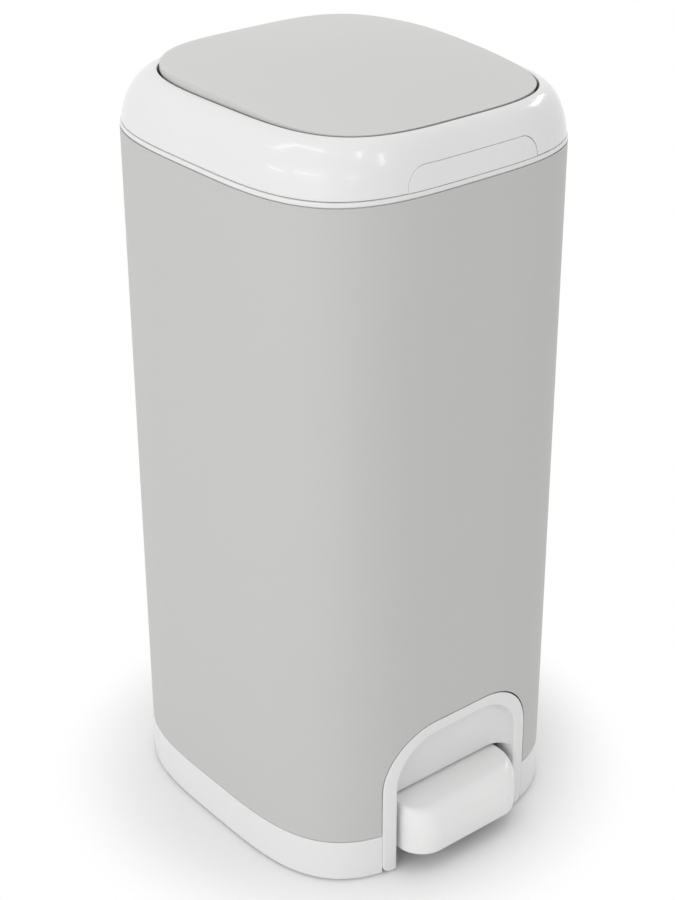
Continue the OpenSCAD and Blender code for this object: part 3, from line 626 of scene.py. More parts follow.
class StudRecipe(GeometryRecipe):
    """Sets a copy of one fastener at each point, turned along the point's own direction."""

    def __init__(self) -> None:
        """Writes the tree."""
        super().__init__("fasteners")
        fastener = self.entry("Fastener", "Object")
        shape = self.node("GeometryNodeObjectInfo", {"Object": fastener}, transform_space="ORIGINAL")
        way = self.node("GeometryNodeInputNamedAttribute", {"Name": "way"}, data_type="FLOAT_VECTOR")
        turn = self.node("FunctionNodeAlignRotationToVector", {"Vector": way.outputs[0]}, axis="Z")
        copies = self.node("GeometryNodeInstanceOnPoints",
                           {"Points": self.geometry, "Instance": shape.outputs["Geometry"],
                            "Rotation": turn.outputs[0]})
        self.close(copies.outputs[0])

    def set(self, name: str, fastener: Work, places: Sequence[tuple[Point3, Point3]],
            material: bpy.types.Material) -> Work:
        """Makes a group of fasteners.

        Args:
            name: the piece's name.
            fastener: one fastener, which stands on the origin along Z. It is used up.
            places: a place and a direction for each copy.
            material: the finish.

        Returns:
            The group, as one piece.
        """
        mesh = plain_mesh(name + "_places", [place for place, _ in places])
        layer = mesh.attributes.new("way", "FLOAT_VECTOR", "POINT")
        layer.data.foreach_set("vector", [v for _, way in places for v in way])
        made = self.run(name, mesh, material, Fastener=fastener.obj)
        bpy.data.objects.remove(fastener.obj)
        return made


class SlatRecipe(GeometryRecipe):
    """Lays a row of equal bars, a pitch apart."""

    def __init__(self) -> None:
        """Writes the tree."""
        super().__init__("slats")
        count = self.entry("Count", "Int")
        start = self.entry("Start", "Vector")
        pitch = self.entry("Pitch", "Vector")
        size = self.entry("Size", "Vector")
        line = self.node("GeometryNodeMeshLine", {"Count": count, "Start Location": start, "Offset": pitch})
        bar = self.node("GeometryNodeMeshCube", {"Size": size})
        copies = self.node("GeometryNodeInstanceOnPoints",
                           {"Points": line.outputs[0], "Instance": bar.outputs[0]})
        self.close(copies.outputs[0])

    def lay(self, name: str, count: int, start: Point3, pitch: Point3, size: Point3,
            material: bpy.types.Material) -> Work:
        """Makes a row of bars, in millimetres.

        Args:
            name: the row's name.
            count: how many bars it has.
            start: the first bar's centre.
            pitch: the way from one bar to the next.
            size: a bar's size.
            material: the finish.

        Returns:
            The row, as one piece.
        """
        mesh = plain_mesh(name + "_row", [(0, 0, 0)])
        scaled = {key: tuple(v * MM for v in value)
                  for key, value in {"Start": start, "Pitch": pitch, "Size": size}.items()}
        return self.run(name, mesh, material, Count=count, **scaled).merge(FINE).outwards()


# ---- finishes ----


class Grain(Enum):
    """The small relief of a surface."""

    PEEL = "peel"
    SPARK = "spark"
    BRUSH = "brush"
    FIBRE = "fibre"


@dataclass(frozen=True)
class Finish:
    """A surface finish: its colour, its sheen, and how both drift over the piece, in millimetres."""

    slot: str
    colour: Point3
    roughness: float
    metallic: float = 0.0
    coat: float = 0.0
    coat_roughness: float = 0.03
    grain: Grain = Grain.SPARK
    grain_size: float = 0.6
    grain_height: float = 0.01
    drift: float = 0.02
    patch: float = 60.0
    stretch: Point3 = (1.0, 1.0, 1.0)
    see_through: float = 0.0

    def material(self) -> bpy.types.Material:
        """Builds the finish.

        Returns:
            Its material.
        """
        material = bpy.data.materials.new(self.slot)
        material.use_nodes = True
        forge = Forge(material.node_tree)
        place = forge.node("ShaderNodeTexCoord").outputs["Object"]
        spread = forge.node("ShaderNodeMapping", {"Vector": place, "Scale": self.stretch})
        cloud = forge.node("ShaderNodeTexNoise",
                           {"Vector": place, "Scale": 1 / (self.patch * MM), "Detail": CLOUD_DETAIL})
        tint = forge.node("ShaderNodeMix", {0: cloud.outputs["Fac"]}, data_type="RGBA")
        for index, change in ((6, 1 - self.drift), (7, 1 + self.drift)):
            tint.inputs[index].default_value = (*(min(1.0, c * change) for c in self.colour), 1.0)
        gloss = forge.num(cloud.outputs["Fac"]) * (self.roughness * ROUGHNESS_SPREAD)
        gloss = gloss + self.roughness * (1 - ROUGHNESS_SPREAD / 2)
        relief = self.relief(forge, spread.outputs[0])
        bump = forge.node("ShaderNodeBump",
                          {"Height": relief, "Strength": 1.0, "Distance": self.grain_height * MM})
        shader = forge.node("ShaderNodeBsdfPrincipled",
                            {"Base Color": tint.outputs[2], "Roughness": gloss, "Metallic": self.metallic,
                             "Coat Weight": self.coat, "Coat Roughness": self.coat_roughness,
                             "Normal": bump.outputs[0], "Transmission Weight": self.see_through,
                             "IOR": PLASTIC_IOR})
        forge.node("ShaderNodeOutputMaterial", {"Surface": shader.outputs[0]})
        material.diffuse_color = (*self.colour, 1.0)
        return material

    def relief(self, forge: Forge, place: bpy.types.NodeSocket) -> bpy.types.NodeSocket:
        """Adds the grain's height.

        Args:
            forge: the material's tree.
            place: the stretched coordinates.

        Returns:
            The height's socket.
        """
        scale = 1 / (self.grain_size * MM)
        if self.grain is Grain.SPARK:
            cells = forge.node("ShaderNodeTexVoronoi", {"Vector": place, "Scale": scale, "Smoothness": 0.7},
                               feature="SMOOTH_F1")
            return cells.outputs["Distance"]
        detail, warp = {Grain.PEEL: (1.0, 0.0), Grain.BRUSH: (4.0, 0.1), Grain.FIBRE: (6.0, 2.5)}[self.grain]
        noise = forge.node("ShaderNodeTexNoise",
                           {"Vector": place, "Scale": scale, "Detail": detail, "Distortion": warp})
        return noise.outputs["Fac"]


WHITE_SHELL = Finish("shell_plastic", (0.805, 0.805, 0.805), 0.2, coat=0.35, grain=Grain.PEEL, grain_size=5.0,
                     grain_height=0.012, drift=0.012)
# The shell's own white plastic with a lighter colour on the pedal: painted light, to offset the shade that
# falls on the pedal.
PEDAL_WHITE_PAINTED_LIGHTER = replace(WHITE_SHELL, colour=(0.86, 0.86, 0.855))
GREY_LID = Finish("lid_plastic", (0.63, 0.63, 0.615), 0.42, grain_size=0.35, grain_height=0.006, drift=0.012)
SATIN_SLEEVE = Finish("sleeve_paint", (0.557, 0.557, 0.547), 0.5, grain=Grain.PEEL, grain_size=1.6,
                      grain_height=0.01, drift=0.015, patch=90.0)
WHITE_INNER = Finish("inner_plastic", (0.72, 0.725, 0.72), 0.45, grain_size=0.5, grain_height=0.015)
BRACKET = Finish("bracket_paint", (0.54, 0.545, 0.54), 0.45, grain=Grain.PEEL, grain_size=1.2,
                 grain_height=0.012)
ZINC = Finish("steel", (0.56, 0.57, 0.58), 0.32, metallic=1.0, grain=Grain.BRUSH, grain_size=0.8,
              grain_height=0.004, drift=0.08, patch=9.0, stretch=(1.0, 1.0, 0.08))
RUBBER = Finish("dark_rubber", (0.028, 0.028, 0.03), 0.75, grain_size=0.4, grain_height=0.02, drift=0.15)
CLIP = Finish("clip_plastic", (0.02, 0.02, 0.022), 0.45, grain_size=0.4, drift=0.1, patch=5.0)
CASSETTE = Finish("cassette_plastic", (0.30, 0.45, 0.60), 0.22, coat=0.3, grain=Grain.PEEL,
                  grain_size=3.0, drift=0.03, see_through=0.15)
FELT = Finish("filter_felt", (0.014, 0.014, 0.015), 0.95, grain=Grain.FIBRE, grain_size=0.9,
              grain_height=0.25, drift=0.3, patch=3.0)


# ---- shared shapes ----


def arc(centre: Point2, radius: float, start: float, end: float, steps: int) -> list[Point2]:
    """The points of an arc between two angles in degrees, both ends among them."""
    turns = [math.radians(start + (end - start) * i / steps) for i in range(steps + 1)]
    return [(centre[0] + radius * math.cos(t), centre[1] + radius * math.sin(t)) for t in turns]


def spaced(start: float, end: float, steps: int) -> list[float]:
    """Equally spaced values, both ends among them."""
    return [start + (end - start) * i / steps for i in range(steps + 1)]


def arch_outline(half: float, top: float, radius: float, bottom: float) -> list[Point2]:
    """A closed arch in X and Z.

    Args:
        half: its half width.
        top: the height of its top.
        radius: its upper corners' radius.
        bottom: the height of its foot.

    Returns:
        Its outline, from the left foot over the top, and back along the foot.
    """
    left = [(-half, z) for z in spaced(bottom, top - radius, 6)[:-1]]
    over = arc((radius - half, top - radius), radius, 180, 90, 16)
    top_edge = [(x, top) for x in spaced(radius - half, half - radius, 12)[1:-1]]
    mirror = [(-x, z) for x, z in reversed(left + over)]
    foot = [(x, bottom) for x in spaced(half, -half, 24)[1:-1]]
    return left + over + top_edge + mirror + foot


@dataclass(frozen=True)
class Plan:
    """The sizes that several sub-assemblies share, in millimetres."""

    half_x: float
    half_y: float
    skirt_top: float
    sleeve_top: float
    head_foot: float
    lid_half_x: float
    lid_half_y: float
    lid_y: float
    head_top: float
    power: float = 3.6
    seam: float = 0.3

    @classmethod
    def from_frame(cls) -> "Plan":
        """Reads the shared sizes off the solids.

        Returns:
            The plan.
        """
        (_, _, sleeve_low), (half_x, half_y, sleeve_top) = reach("body_shell")
        (_, lid_front, lid_low), (lid_half_x, lid_rear, _) = reach("lid_cover")
        return cls(half_x=half_x, half_y=half_y, skirt_top=sleeve_low - cls.seam, sleeve_top=sleeve_top,
                   head_foot=reach("head_collar")[0][2], lid_half_x=lid_half_x,
                   lid_half_y=(lid_rear - lid_front) / 2, lid_y=(lid_rear + lid_front) / 2,
                   head_top=lid_low + LID_SKIRT)

    def level(self, inset: float, height: float) -> Section:
        """The sleeve's outline at a height, drawn in by inset."""
        return Section(self.half_x - inset, self.half_y - inset, self.power, 0.0, height)

    def face_y(self, x: float, inset: float) -> float:
        """The front face's y at x, where the outline is drawn in by inset."""
        return self.level(inset, 0.0).front_at(x)

    def wall(self, points: Iterable[Point2]) -> list[Section]:
        """Level lines through pairs of inset and height."""
        return [self.level(inset, height) for inset, height in points]


def reach(node: str) -> tuple[Point3, Point3]:
    """A CAD node's lowest and highest corners in millimetres."""
    low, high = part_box(node)
    return tuple(low / MM), tuple(high / MM)


def middle(node: str) -> Point3:
    """The middle of a CAD node's box in millimetres."""
    low, high = reach(node)
    return tuple((a + b) / 2 for a, b in zip(low, high))


def both_sides(near: float, far: float) -> list[Point2]:
    """The spans in X between two distances from the middle, left and right."""
    return [(-far, -near), (near, far)]


# ---- the bench ----


class Bench:
    """Holds the frame's facts, the materials and the recipes, and puts finished pieces on their bodies."""

    def __init__(self, frame: dict[str, object]) -> None:
        """Reads the frame and writes the recipes' trees.

        Args:
            frame: what the frame's loading returns.
        """
        self.nodes: dict[str, bpy.types.Object] = frame["nodes"]
        groups = frame["record"]["behaviour"]["bodies"]
        self.body_of = {node: body for body, members in groups.items() for node in members}
        self.materials: dict[Finish, bpy.types.Material] = {}
        self.plan = Plan.from_frame()
        self.skins = SkinRecipe()
        self.coils = CoilRecipe()
        self.studs = StudRecipe()
        self.slats = SlatRecipe()

    def material(self, finish: Finish) -> bpy.types.Material:
        """The material of a finish, made once.

        Args:
            finish: the finish.

        Returns:
            Its material.
        """
        if finish not in self.materials:
            self.materials[finish] = finish.material()
        return self.materials[finish]

    def fit(self, work: Work, finish: Finish, *nodes: str) -> bpy.types.Object:
        """Finishes a piece and puts it on the body of the nodes that it stands for.

        Args:
            work: the piece.
            finish: its finish.
            nodes: the CAD nodes that it replaces.

        Returns:
            The piece's object.
        """
        work.obj.data.materials.clear()
        work.obj.data.materials.append(self.material(finish))
        work.shade()
        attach(work.obj, self.body_of[nodes[0]])
        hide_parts(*nodes)
        LOG.info("%s: %d faces, %s", work.obj.name, len(work.obj.data.polygons),
                 "closed" if work.closed() else "OPEN")
        return work.obj

    def soften(self, finish: Finish, **widths: float) -> None:
        """Makes moulded or pressed pieces from CAD nodes, with their sharp edges rounded.

        Args:
            finish: their finish.
            widths: the rounding of each node in millimetres, by the node's name.
        """
        for node, width in widths.items():
            work = Work.of_mesh(node + "_part", self.nodes[node].data.copy()).merge()
            work.edit(lambda bm: bmesh.ops.dissolve_limit(bm, angle_limit=FLAT, verts=bm.verts,
                                                          edges=bm.edges))
            plain = work.obj.data.copy()
            work.modify("BEVEL", width=width * MM, segments=2, limit_method="ANGLE", angle_limit=SHARP,
                        use_clamp_overlap=True)
            if not work.closed():
                LOG.info("%s keeps its sharp edges", node)
                work.obj.data = plain
            self.fit(work, finish, node)

    def spring(self, node: str, name: str, radius: float, wire: float, turns: float,
               lying: bool = False) -> bpy.types.Object:
        """Makes a coil spring where its CAD node is.

        Args:
            node: the CAD node.
            name: the piece's name.
            radius: the coil's radius to the middle of its wire.
            wire: the wire's radius.
            turns: the number of turns.
            lying: whether it lies along Y instead of standing along Z.

        Returns:
            The spring's object.
        """
        low, high = reach(node)
        x, y, z = middle(node)
        axis = 1 if lying else 2
        work = self.coils.run(name, bpy.data.meshes.new(name + "_seed"), self.material(ZINC),
                              Radius=radius * MM, Wire_Radius=wire * MM, Turns=float(turns),
                              Height=(high[axis] - low[axis]) * MM)
        foot = (x, low[1], z) if lying else (x, y, low[2])
        turn = Matrix.Rotation(math.radians(-90 if lying else 0), 4, "X")
        work.merge(FINE).outwards().move(Matrix.Translation(Vector(foot) * MM) @ turn)
        return self.fit(work, ZINC, node)

    def studded(self, node: str, name: str, fastener: Work, places: Sequence[tuple[Point3, Point3]],
                finish: Finish) -> None:
        """Sets a copy of one fastener at each of a CAD node's places, facing the way given with it."""
        self.fit(self.studs.set(name, fastener, places, self.material(finish)), finish, node)


# ---- sub-assemblies ----


@dataclass
class SteelSleeve:
    """The painted sheet-steel sleeve, open for the pedal at its foot."""

    bench: Bench
    sheet: float = 0.8
    edge: float = 0.25
    top_gap: float = 0.15
    foot_gap: float = 0.3
    arch_gap: float = 0.6
    cut_ahead: float = 2.0
    cut_depth: float = 60.0
    arch_half: float = field(init=False)
    arch_top: float = field(init=False)
    arch_radius: float = 50.3

    def __post_init__(self) -> None:
        """Takes the pedal opening from the surround."""
        _, high = reach("pedal_surround")
        gap = self.bench.plan.seam + self.arch_gap
        self.arch_half = high[0] + gap
        self.arch_top = high[2] + gap

    def build(self) -> None:
        """Builds the sleeve."""
        plan = self.bench.plan
        low = plan.skirt_top + plan.seam + self.foot_gap
        top = plan.sleeve_top - self.top_gap
        edge = self.edge
        rows = spaced(low + edge, top - edge, 12)
        inside = self.sheet
        outline = [(edge, low), *((0.0, z) for z in rows), (edge, top), (inside - edge, top),
                   *((inside, z) for z in reversed(rows)), (inside - edge, low)]
        sheet = self.bench.skins.skin("sleeve_sheet", plan.wall(outline), self.bench.material(SATIN_SLEEVE))
        opening = arch_outline(self.arch_half, self.arch_top, self.arch_radius, 0.0)
        front = -plan.half_y - self.cut_ahead
        sheet.cut(Work.prism("sleeve_opening", [(x, front, z) for x, z in opening], (0, self.cut_depth, 0)))
        self.bench.fit(sheet, SATIN_SLEEVE, "body_shell")


@dataclass
class MouldedBase:
    """The base moulding with its feet, the arched surround of the pedal, and the pail's floor."""

    bench: Bench
    wall: float = 3.0
    plate: float = 2.5
    lift: float = 2.0
    lip: float = 12.0
    lip_inset: float = 1.1
    lip_wall: float = 2.0
    edge: float = 0.6
    centre_inset: float = 60.0
    band_side: float = 12.5
    band_top: float = 9.5
    arch_radius: float = 50.0
    corner: float = 6.0
    cheek_z: float = 61.2
    scoop_start: float = 4.0
    scoop_depth: float = 14.0
    scoop_soft: Point3 = (16.0, 34.0, 12.0)
    leg_steps: int = 8
    leg_depth: float = 4.0
    skin: float = 2.4
    room_top: float = 64.0
    room_rear: float = 3.0
    room_gap: float = 0.2
    face_height: float = 120.0
    foot_radius: float = 9.0
    foot_gap: float = 0.1
    post_radius: float = 5.0
    bracket_span: Point2 = (12.0, 18.0)
    bracket_radius: float = 7.0
    seat_radius: float = 3.5
    seat_rise: float = 4.0
    seat_edge: float = 0.6
    screw_head_rise: float = 1.8
    screw_length: float = 10.0
    # the band's shape: the share of the way across it, and the depth behind the sleeve's face
    band_profile: tuple[Point2, ...] = (
        (0.0, 4.0), (0.0, 1.0), (0.0, 0.0), (0.03, -0.35), (0.07, -0.55), (0.13, -0.6), (0.3, -0.6),
        (0.5, -0.6), (0.7, -0.6), (0.84, -0.58), (0.92, -0.4), (0.97, -0.05), (0.993, 0.5), (1.0, 1.2),
        (1.0, 2.4))

    def build(self) -> None:
        """Builds the base."""
        self.tray()
        self.surround()
        self.bench.soften(WHITE_INNER, pail_floor=0.4)
        self.feet()
        self.floor_screws()

    def tray(self) -> None:
        """The tray that the sleeve stands in: its visible skirt, its lip and its plate."""
        bench = self.bench
        plan = bench.plan
        foot, top, e = self.lift, plan.skirt_top, self.edge
        inner = self.lip_inset + self.lip_wall
        crown = top + self.lip
        plate, far = foot + self.plate, self.centre_inset
        outline = [(plan.half_x, foot), (far, foot), (4.0, foot), (e, foot), (0.3 * e, foot + 0.3 * e),
                   (0.0, foot + e), *((0.0, z) for z in spaced(foot + 4, top - 4, 4)), (0.0, top - 0.4),
                   (0.12, top - 0.12), (0.4, top), (self.lip_inset, top), (self.lip_inset, crown - 0.4),
                   (self.lip_inset + 0.4, crown), (inner - 0.4, crown), (inner, crown - 0.4),
                   (inner, top - 2), (self.wall, top - 3), (self.wall, plate + 1), (self.wall + 1, plate),
                   (far, plate), (plan.half_x, plate)]
        sections = [s if s.half_x > 0 else replace(s, half_x=0.0, half_y=0.0) for s in plan.wall(outline)]
        tray = bench.skins.skin("base_tray", sections, bench.material(WHITE_SHELL), looped=False)
        tray.cut(self.surround_room(), self.lever_room())
        tray.join(*self.stand_offs())
        tray.cut(*(Work.rod("foot_seat", (x, y, foot - PAST), self.foot_radius + self.foot_gap,
                            (0, 0, 2 * PAST)) for x, y in self.corners("rubber_feet", self.foot_radius)))
        bench.fit(tray, WHITE_SHELL, "base_skirt")

    def corners(self, node: str, radius: float) -> list[Point2]:
        """The axes of four equal round things.

        Args:
            node: the CAD node that holds them.
            radius: their radius.

        Returns:
            Their places in X and Y.
        """
        _, high = reach(node)
        x, y = high[0] - radius, high[1] - radius
        return [(sx * x, sy * y) for sx in (-1, 1) for sy in (-1, 1)]

    def surround_room(self) -> Work:
        """What the surround's face takes out of the tray.

        Returns:
            The room.
        """
        plan = self.bench.plan
        half = reach("pedal_surround")[1][0] + plan.seam
        depth = self.scoop_start + plan.seam
        xs = spaced(-half, half, 60)
        back = [(x, plan.face_y(x, depth), 0.0) for x in xs]
        front = [(x, plan.face_y(x, -2 * PAST), 0.0) for x in reversed(xs)]
        return Work.prism("surround_room", back + front, (0, 0, self.face_height))

    def lever_room(self) -> Work:
        """The notch in the tray that the pedal and its lever move in.

        Returns:
            The notch.
        """
        rear = reach("pedal")[1][1] + self.room_rear
        half = reach("pedal_surround")[1][0] - self.band_side + self.skin + self.room_gap
        front = -self.bench.plan.half_y - PAST
        return Work.block("lever_room", (-half, front, -PAST), (half, rear, self.room_top))

    def stand_offs(self) -> list[Work]:
        """The posts, the axle's brackets and the spring's seat on the plate.

        Returns:
            The pieces that the tray is joined with.
        """
        top = self.lift + self.plate
        low = top - PAST
        floor_z = reach("pail_floor")[1][2] - self.plate
        posts = [Work.rod("post", (x, y, low), self.post_radius, (0, 0, floor_z - low))
                 for x, y in self.corners("floor_screws", SCREW_HEAD)]
        _, axle_y, axle_z = middle("pedal_axle")
        r = self.bracket_radius
        side = [*arc((axle_y, axle_z), r, 0, 180, 16), (axle_y - r, low), (axle_y + r, low)]
        brackets = [Work.prism("bracket", [(near, y, z) for y, z in side], (far - near, 0, 0))
                    for near, far in both_sides(*self.bracket_span)]
        r, rise = self.seat_radius, top + self.seat_rise
        seat = Work.turned("seat", [(r, low), (r, rise - self.seat_edge), (r - self.seat_edge, rise)])
        seat.move(Matrix.Translation((0, middle("pedal_spring")[1] * MM, 0)))
        return [*posts, *brackets, seat]

    def path(self, half: float, top: float, radius: float, foot: float) -> list[Point2]:
        """One line of the surround, from the left foot over the top to the right foot.

        Args:
            half: its half width.
            top: its height.
            radius: its corners' radius.
            foot: the height of its feet.

        Returns:
            Points in X and Z. Two of them meet at the height of the scoop's lower edge.
        """
        spring_line = top - radius
        start = 180.0
        if spring_line < self.cheek_z:
            start = 180 - math.degrees(math.asin((self.cheek_z - spring_line) / radius))
        rise = max(spring_line, self.cheek_z)
        over = arc((radius - half, spring_line), radius, start, 90, 18)
        leg = [(-half, z) for z in spaced(foot, self.cheek_z, self.leg_steps)]
        cheek = [(over[0][0], z) for z in spaced(self.cheek_z, rise, 4)]
        left = [*leg, *cheek, *over[1:]]
        crown = [(x, top) for x in spaced(radius - half, half - radius, 14)[1:-1]]
        return left + crown + [(-x, z) for x, z in reversed(left)]

    def surround(self) -> None:
        """The arched surround: a face that follows the sleeve, and the scoop behind it."""
        plan = self.bench.plan
        _, (half, _, top) = reach("pedal_surround")
        inner_half = half - self.band_side
        lines: list[list[Point3]] = []
        for share, inset in self.band_profile:
            side, crown = self.band_side * share, self.band_top * share
            gap = max(0.0, self.corner - side)
            foot = self.lift + self.corner - math.sqrt(self.corner ** 2 - gap ** 2)
            path = self.path(half - side, top - crown, self.arch_radius - crown, foot)
            lines.append([(x, plan.face_y(x, inset), z) for x, z in path])
        low, soft = self.lift, self.scoop_soft
        lip = lines[-1]
        back = -plan.half_y + self.scoop_start + self.scoop_depth
        for turn in spaced(0, 90, 14)[1:]:
            ease, deep = 1 - math.cos(math.radians(turn)), math.sin(math.radians(turn))
            path = self.path(inner_half - soft[0] * ease, top - self.band_top - soft[1] * ease,
                             self.arch_radius - self.band_top - soft[2] * ease, low)
            line = []
            for i, (x, z) in enumerate(path):
                start = lip[i][1]
                on_leg = min(i, len(path) - 1 - i) <= self.leg_steps
                end = back + (self.leg_depth if on_leg else 0.0)
                line.append((math.copysign(inner_half, x) if on_leg else x, start + (end - start) * deep, z))
            lines.append(line)
        count = len(lines[0])
        points = [point for line in lines for point in line]
        faces: list[Sequence[int]] = [(j + i, j + i + 1, j + count + i + 1, j + count + i)
                                      for j in range(0, len(points) - count, count) for i in range(count - 1)]
        last, leg = len(points) - count, self.leg_steps + 1
        faces.append(tuple(range(last + leg, last + count - leg)))
        arch = Work.of_mesh("pedal_arch", plain_mesh("pedal_arch", points, faces)).merge(0.001)
        arch.edit(self.face_front)
        arch.thicken(self.skin)
        self.bench.fit(arch, WHITE_SHELL, "pedal_surround")

    @staticmethod
    def face_front(bm: bmesh.types.BMesh) -> None:
        """Turns a skin's faces to one side, and that side to the front.

        Args:
            bm: the skin.
        """
        bmesh.ops.recalc_face_normals(bm, faces=bm.faces)
        if sum(face.normal.y * face.calc_area() for face in bm.faces) > 0:
            bmesh.ops.reverse_faces(bm, faces=bm.faces)

    def feet(self) -> None:
        """The rubber feet, moulded with a rounded foot and a shallow dish."""
        r, top = self.foot_radius, reach("rubber_feet")[1][2]
        profile = [(3.0, 0.5), (r - 3, 0.4), (r - 2.2, 0.0), (r - 0.6, 0.0), (r - 0.15, 0.2), (r, 0.6),
                   (r, top)]
        places = [((x, y, 0.0), (0.0, 0.0, 1.0)) for x, y in self.corners("rubber_feet", r)]
        self.bench.studded("rubber_feet", "feet", Work.turned("foot", profile), places, RUBBER)

    def floor_screws(self) -> None:
        """The screws that hold the pail's floor to the base."""
        seat = reach("floor_screws")[1][2] - self.screw_head_rise
        places = [((x, y, seat), (0.0, 0.0, 1.0)) for x, y in self.corners("floor_screws", SCREW_HEAD)]
        screw = pan_screw(SCREW_SHANK, self.screw_length)
        self.bench.studded("floor_screws", "floor_fixings", screw, places, ZINC)


def pan_screw(shank: float, length: float) -> Work:
    """Makes a pan-head screw with a cross recess, its seat on the origin and its shank pointing down.

    Args:
        shank: the shank's radius.
        length: the shank's length.

    Returns:
        The screw.
    """
    head = HEAD_SHARE * shank
    profile = [(0.5 * shank, -length), (shank, -length + 0.8), (shank, -0.1), (shank + 0.1, 0.0),
               (head - 0.15, 0.0), (head, 0.15)]
    rise, floor, above = 1.6, 0.9, 4.0
    profile += [(head * math.cos(t), 0.15 + rise * math.sin(t)) for t in (0.35, 0.7, 1.0, 1.25)]
    screw = Work.turned("screw", profile, 24)
    arm, slot = 0.62 * head, 0.16 * head
    return screw.cut(*(Work.block("recess", (-x, -y, floor), (x, y, above))
                       for x, y in ((arm, slot), (slot, arm))))


@dataclass
class PedalWork:
    """The pedal, its lever on the axle, the return spring, and the rod up the rear wall."""

    bench: Bench
    climb: float = 3.0
    wall: float = 3.0
    corner: float = 24.0
    corner_ease: float = 0.4
    rear_corner: float = 7.0
    soft: float = 4.0
    rear_soft: float = 1.2
    crest: float = 14.0
    bow: float = 60.0
    nose_rise: float = 12.0
    nose_lean: float = 1.2
    channel_half: float = 12.0
    channel_top: float = 53.0
    channel_reach: Point2 = (5.0, 9.0)
    rib_gap: float = 1.5
    rib_wall: float = 2.0
    rib_foot: float = 6.0
    cross_rib: float = 20.0
    boss_places: Point2 = (-60.0, -76.0)
    boss_half: float = 4.0
    boss_foot: float = 6.1
    boss_top: float = 26.0
    rod_travel: float = 29.552
    press_drop: float = 3.6

    def __post_init__(self) -> None:
        """Takes the pedal's room from its solid."""
        (_, self.nose, self.low), (self.half, self.rear, self.top) = reach("pedal")

    def ring(self, z: float, front: float, side: float, rear: float, climb: float) -> list[Point3]:
        """The pedal's outline at one height.

        Args:
            z: the height at the nose.
            front: the distance that the nose is drawn in.
            side: the distance that the sides are drawn in.
            rear: the distance that the rear is drawn in.
            climb: the rise from the nose to the rear.

        Returns:
            The outline's points.
        """
        a, nose, back = self.half - side, self.nose + front, self.rear - rear
        r, q = self.corner - side - self.corner_ease * front, self.rear_corner - rear
        points = arc((a - q, back - q), q, 0, 90, 8)
        points += [(x, back) for x in spaced(a - q, q - a, 10)[1:-1]]
        points += arc((q - a, back - q), q, 90, 180, 8)
        points += arc((r - a, nose + r), r, 180, 270, 16)
        points += [(x, nose) for x in spaced(r - a, a - r, 10)[1:-1]]
        points += arc((a - r, nose + r), r, 270, 360, 16)
        length = self.rear - self.nose
        return [(x, y, z + climb * (y - self.nose) / length) for x, y in points]

    def solid(self, name: str, inset: float) -> Work:
        """The pedal's body: a bowed nose that rolls over into the climbing tread.

        Args:
            name: the body's name.
            inset: the distance that its skin is drawn in.

        Returns:
            The body.
        """
        roll_z = self.top - self.climb - self.crest
        nose_z = self.low + self.nose_rise
        rings = []
        if inset > 0:
            rings.append(self.ring(self.low - PAST, self.nose_lean + inset, inset, inset, 0))
        else:
            edge = [(0.6, 0.0), (0.18, 0.18), (0.0, 0.6)]
            rings += [self.ring(self.low + dz, self.nose_lean + d, d, d, 0) for d, dz in edge]
        for z in spaced(self.low + 2, roll_z, 8):
            lean = self.bow - math.sqrt(self.bow ** 2 - (z - nose_z) ** 2)
            rise = self.climb / 3 * max(0.0, (z - nose_z) / (roll_z - nose_z))
            rings.append(self.ring(z, lean + inset, inset, inset, rise))
        lean = self.bow - math.sqrt(self.bow ** 2 - (roll_z - nose_z) ** 2)
        for turn in spaced(0, 90, 12)[1:]:
            ease, up = 1 - math.cos(math.radians(turn)), math.sin(math.radians(turn))
            side = inset + (self.soft - inset) * ease
            rear = max(inset, self.rear_soft * ease)
            reach_in = lean + inset + (self.crest - inset) * ease
            rings.append(self.ring(roll_z + (self.crest - inset) * up, reach_in, side, rear,
                                   self.climb * (1 + 2 * up) / 3))
        return Work.loft(name, rings)

    def tread(self) -> None:
        """The pedal's moulding: a shell with ribs and bosses under it."""
        pedal = self.solid("pedal_tread", 0)
        pedal.cut(self.solid("pedal_hollow", self.wall))
        half, rib, foot = self.channel_half, self.channel_half + self.rib_gap, self.low + self.rib_foot
        cross = self.nose + self.cross_rib
        pieces = []
        for (near, far), (start, end) in zip(both_sides(rib, rib + self.rib_wall),
                                             both_sides(rib, self.half)):
            pieces.append(Work.block("rib", (near, self.nose, foot), (far, self.rear, self.top)))
            pieces.append(Work.block("cross_rib", (start, cross, foot),
                                     (end, cross + self.rib_wall, self.top)))
        tilt, b = self.lever_matrix(), self.boss_half
        pieces += [Work.block("boss", (-b, u - b, self.boss_foot), (b, u + b, self.boss_top)).move(tilt)
                   for u in self.boss_places]
        for piece in pieces:
            pedal.join(piece.boolean("INTERSECT", self.solid("pedal_core", 1)))
        ahead, behind = self.channel_reach
        pedal.cut(Work.block("channel", (-half, self.rear - ahead, 0),
                             (half, self.rear + behind, self.channel_top)))
        # the pedal takes the shell's white painted lighter, to offset its shade
        self.bench.fit(pedal, PEDAL_WHITE_PAINTED_LIGHTER, "pedal")

    def lever_matrix(self) -> Matrix:
        """The place of the lever's own frame, about its axle.

        Returns:
            Its matrix, with the shift in metres.
        """
        _, axle_y, axle_z = middle("pedal_axle")
        tilt = math.asin(self.rod_travel / 2 / (middle("lift_rod")[1] - axle_y))
        return Matrix.Translation((0, axle_y * MM, axle_z * MM)) @ Matrix.Rotation(-tilt, 4, "X")

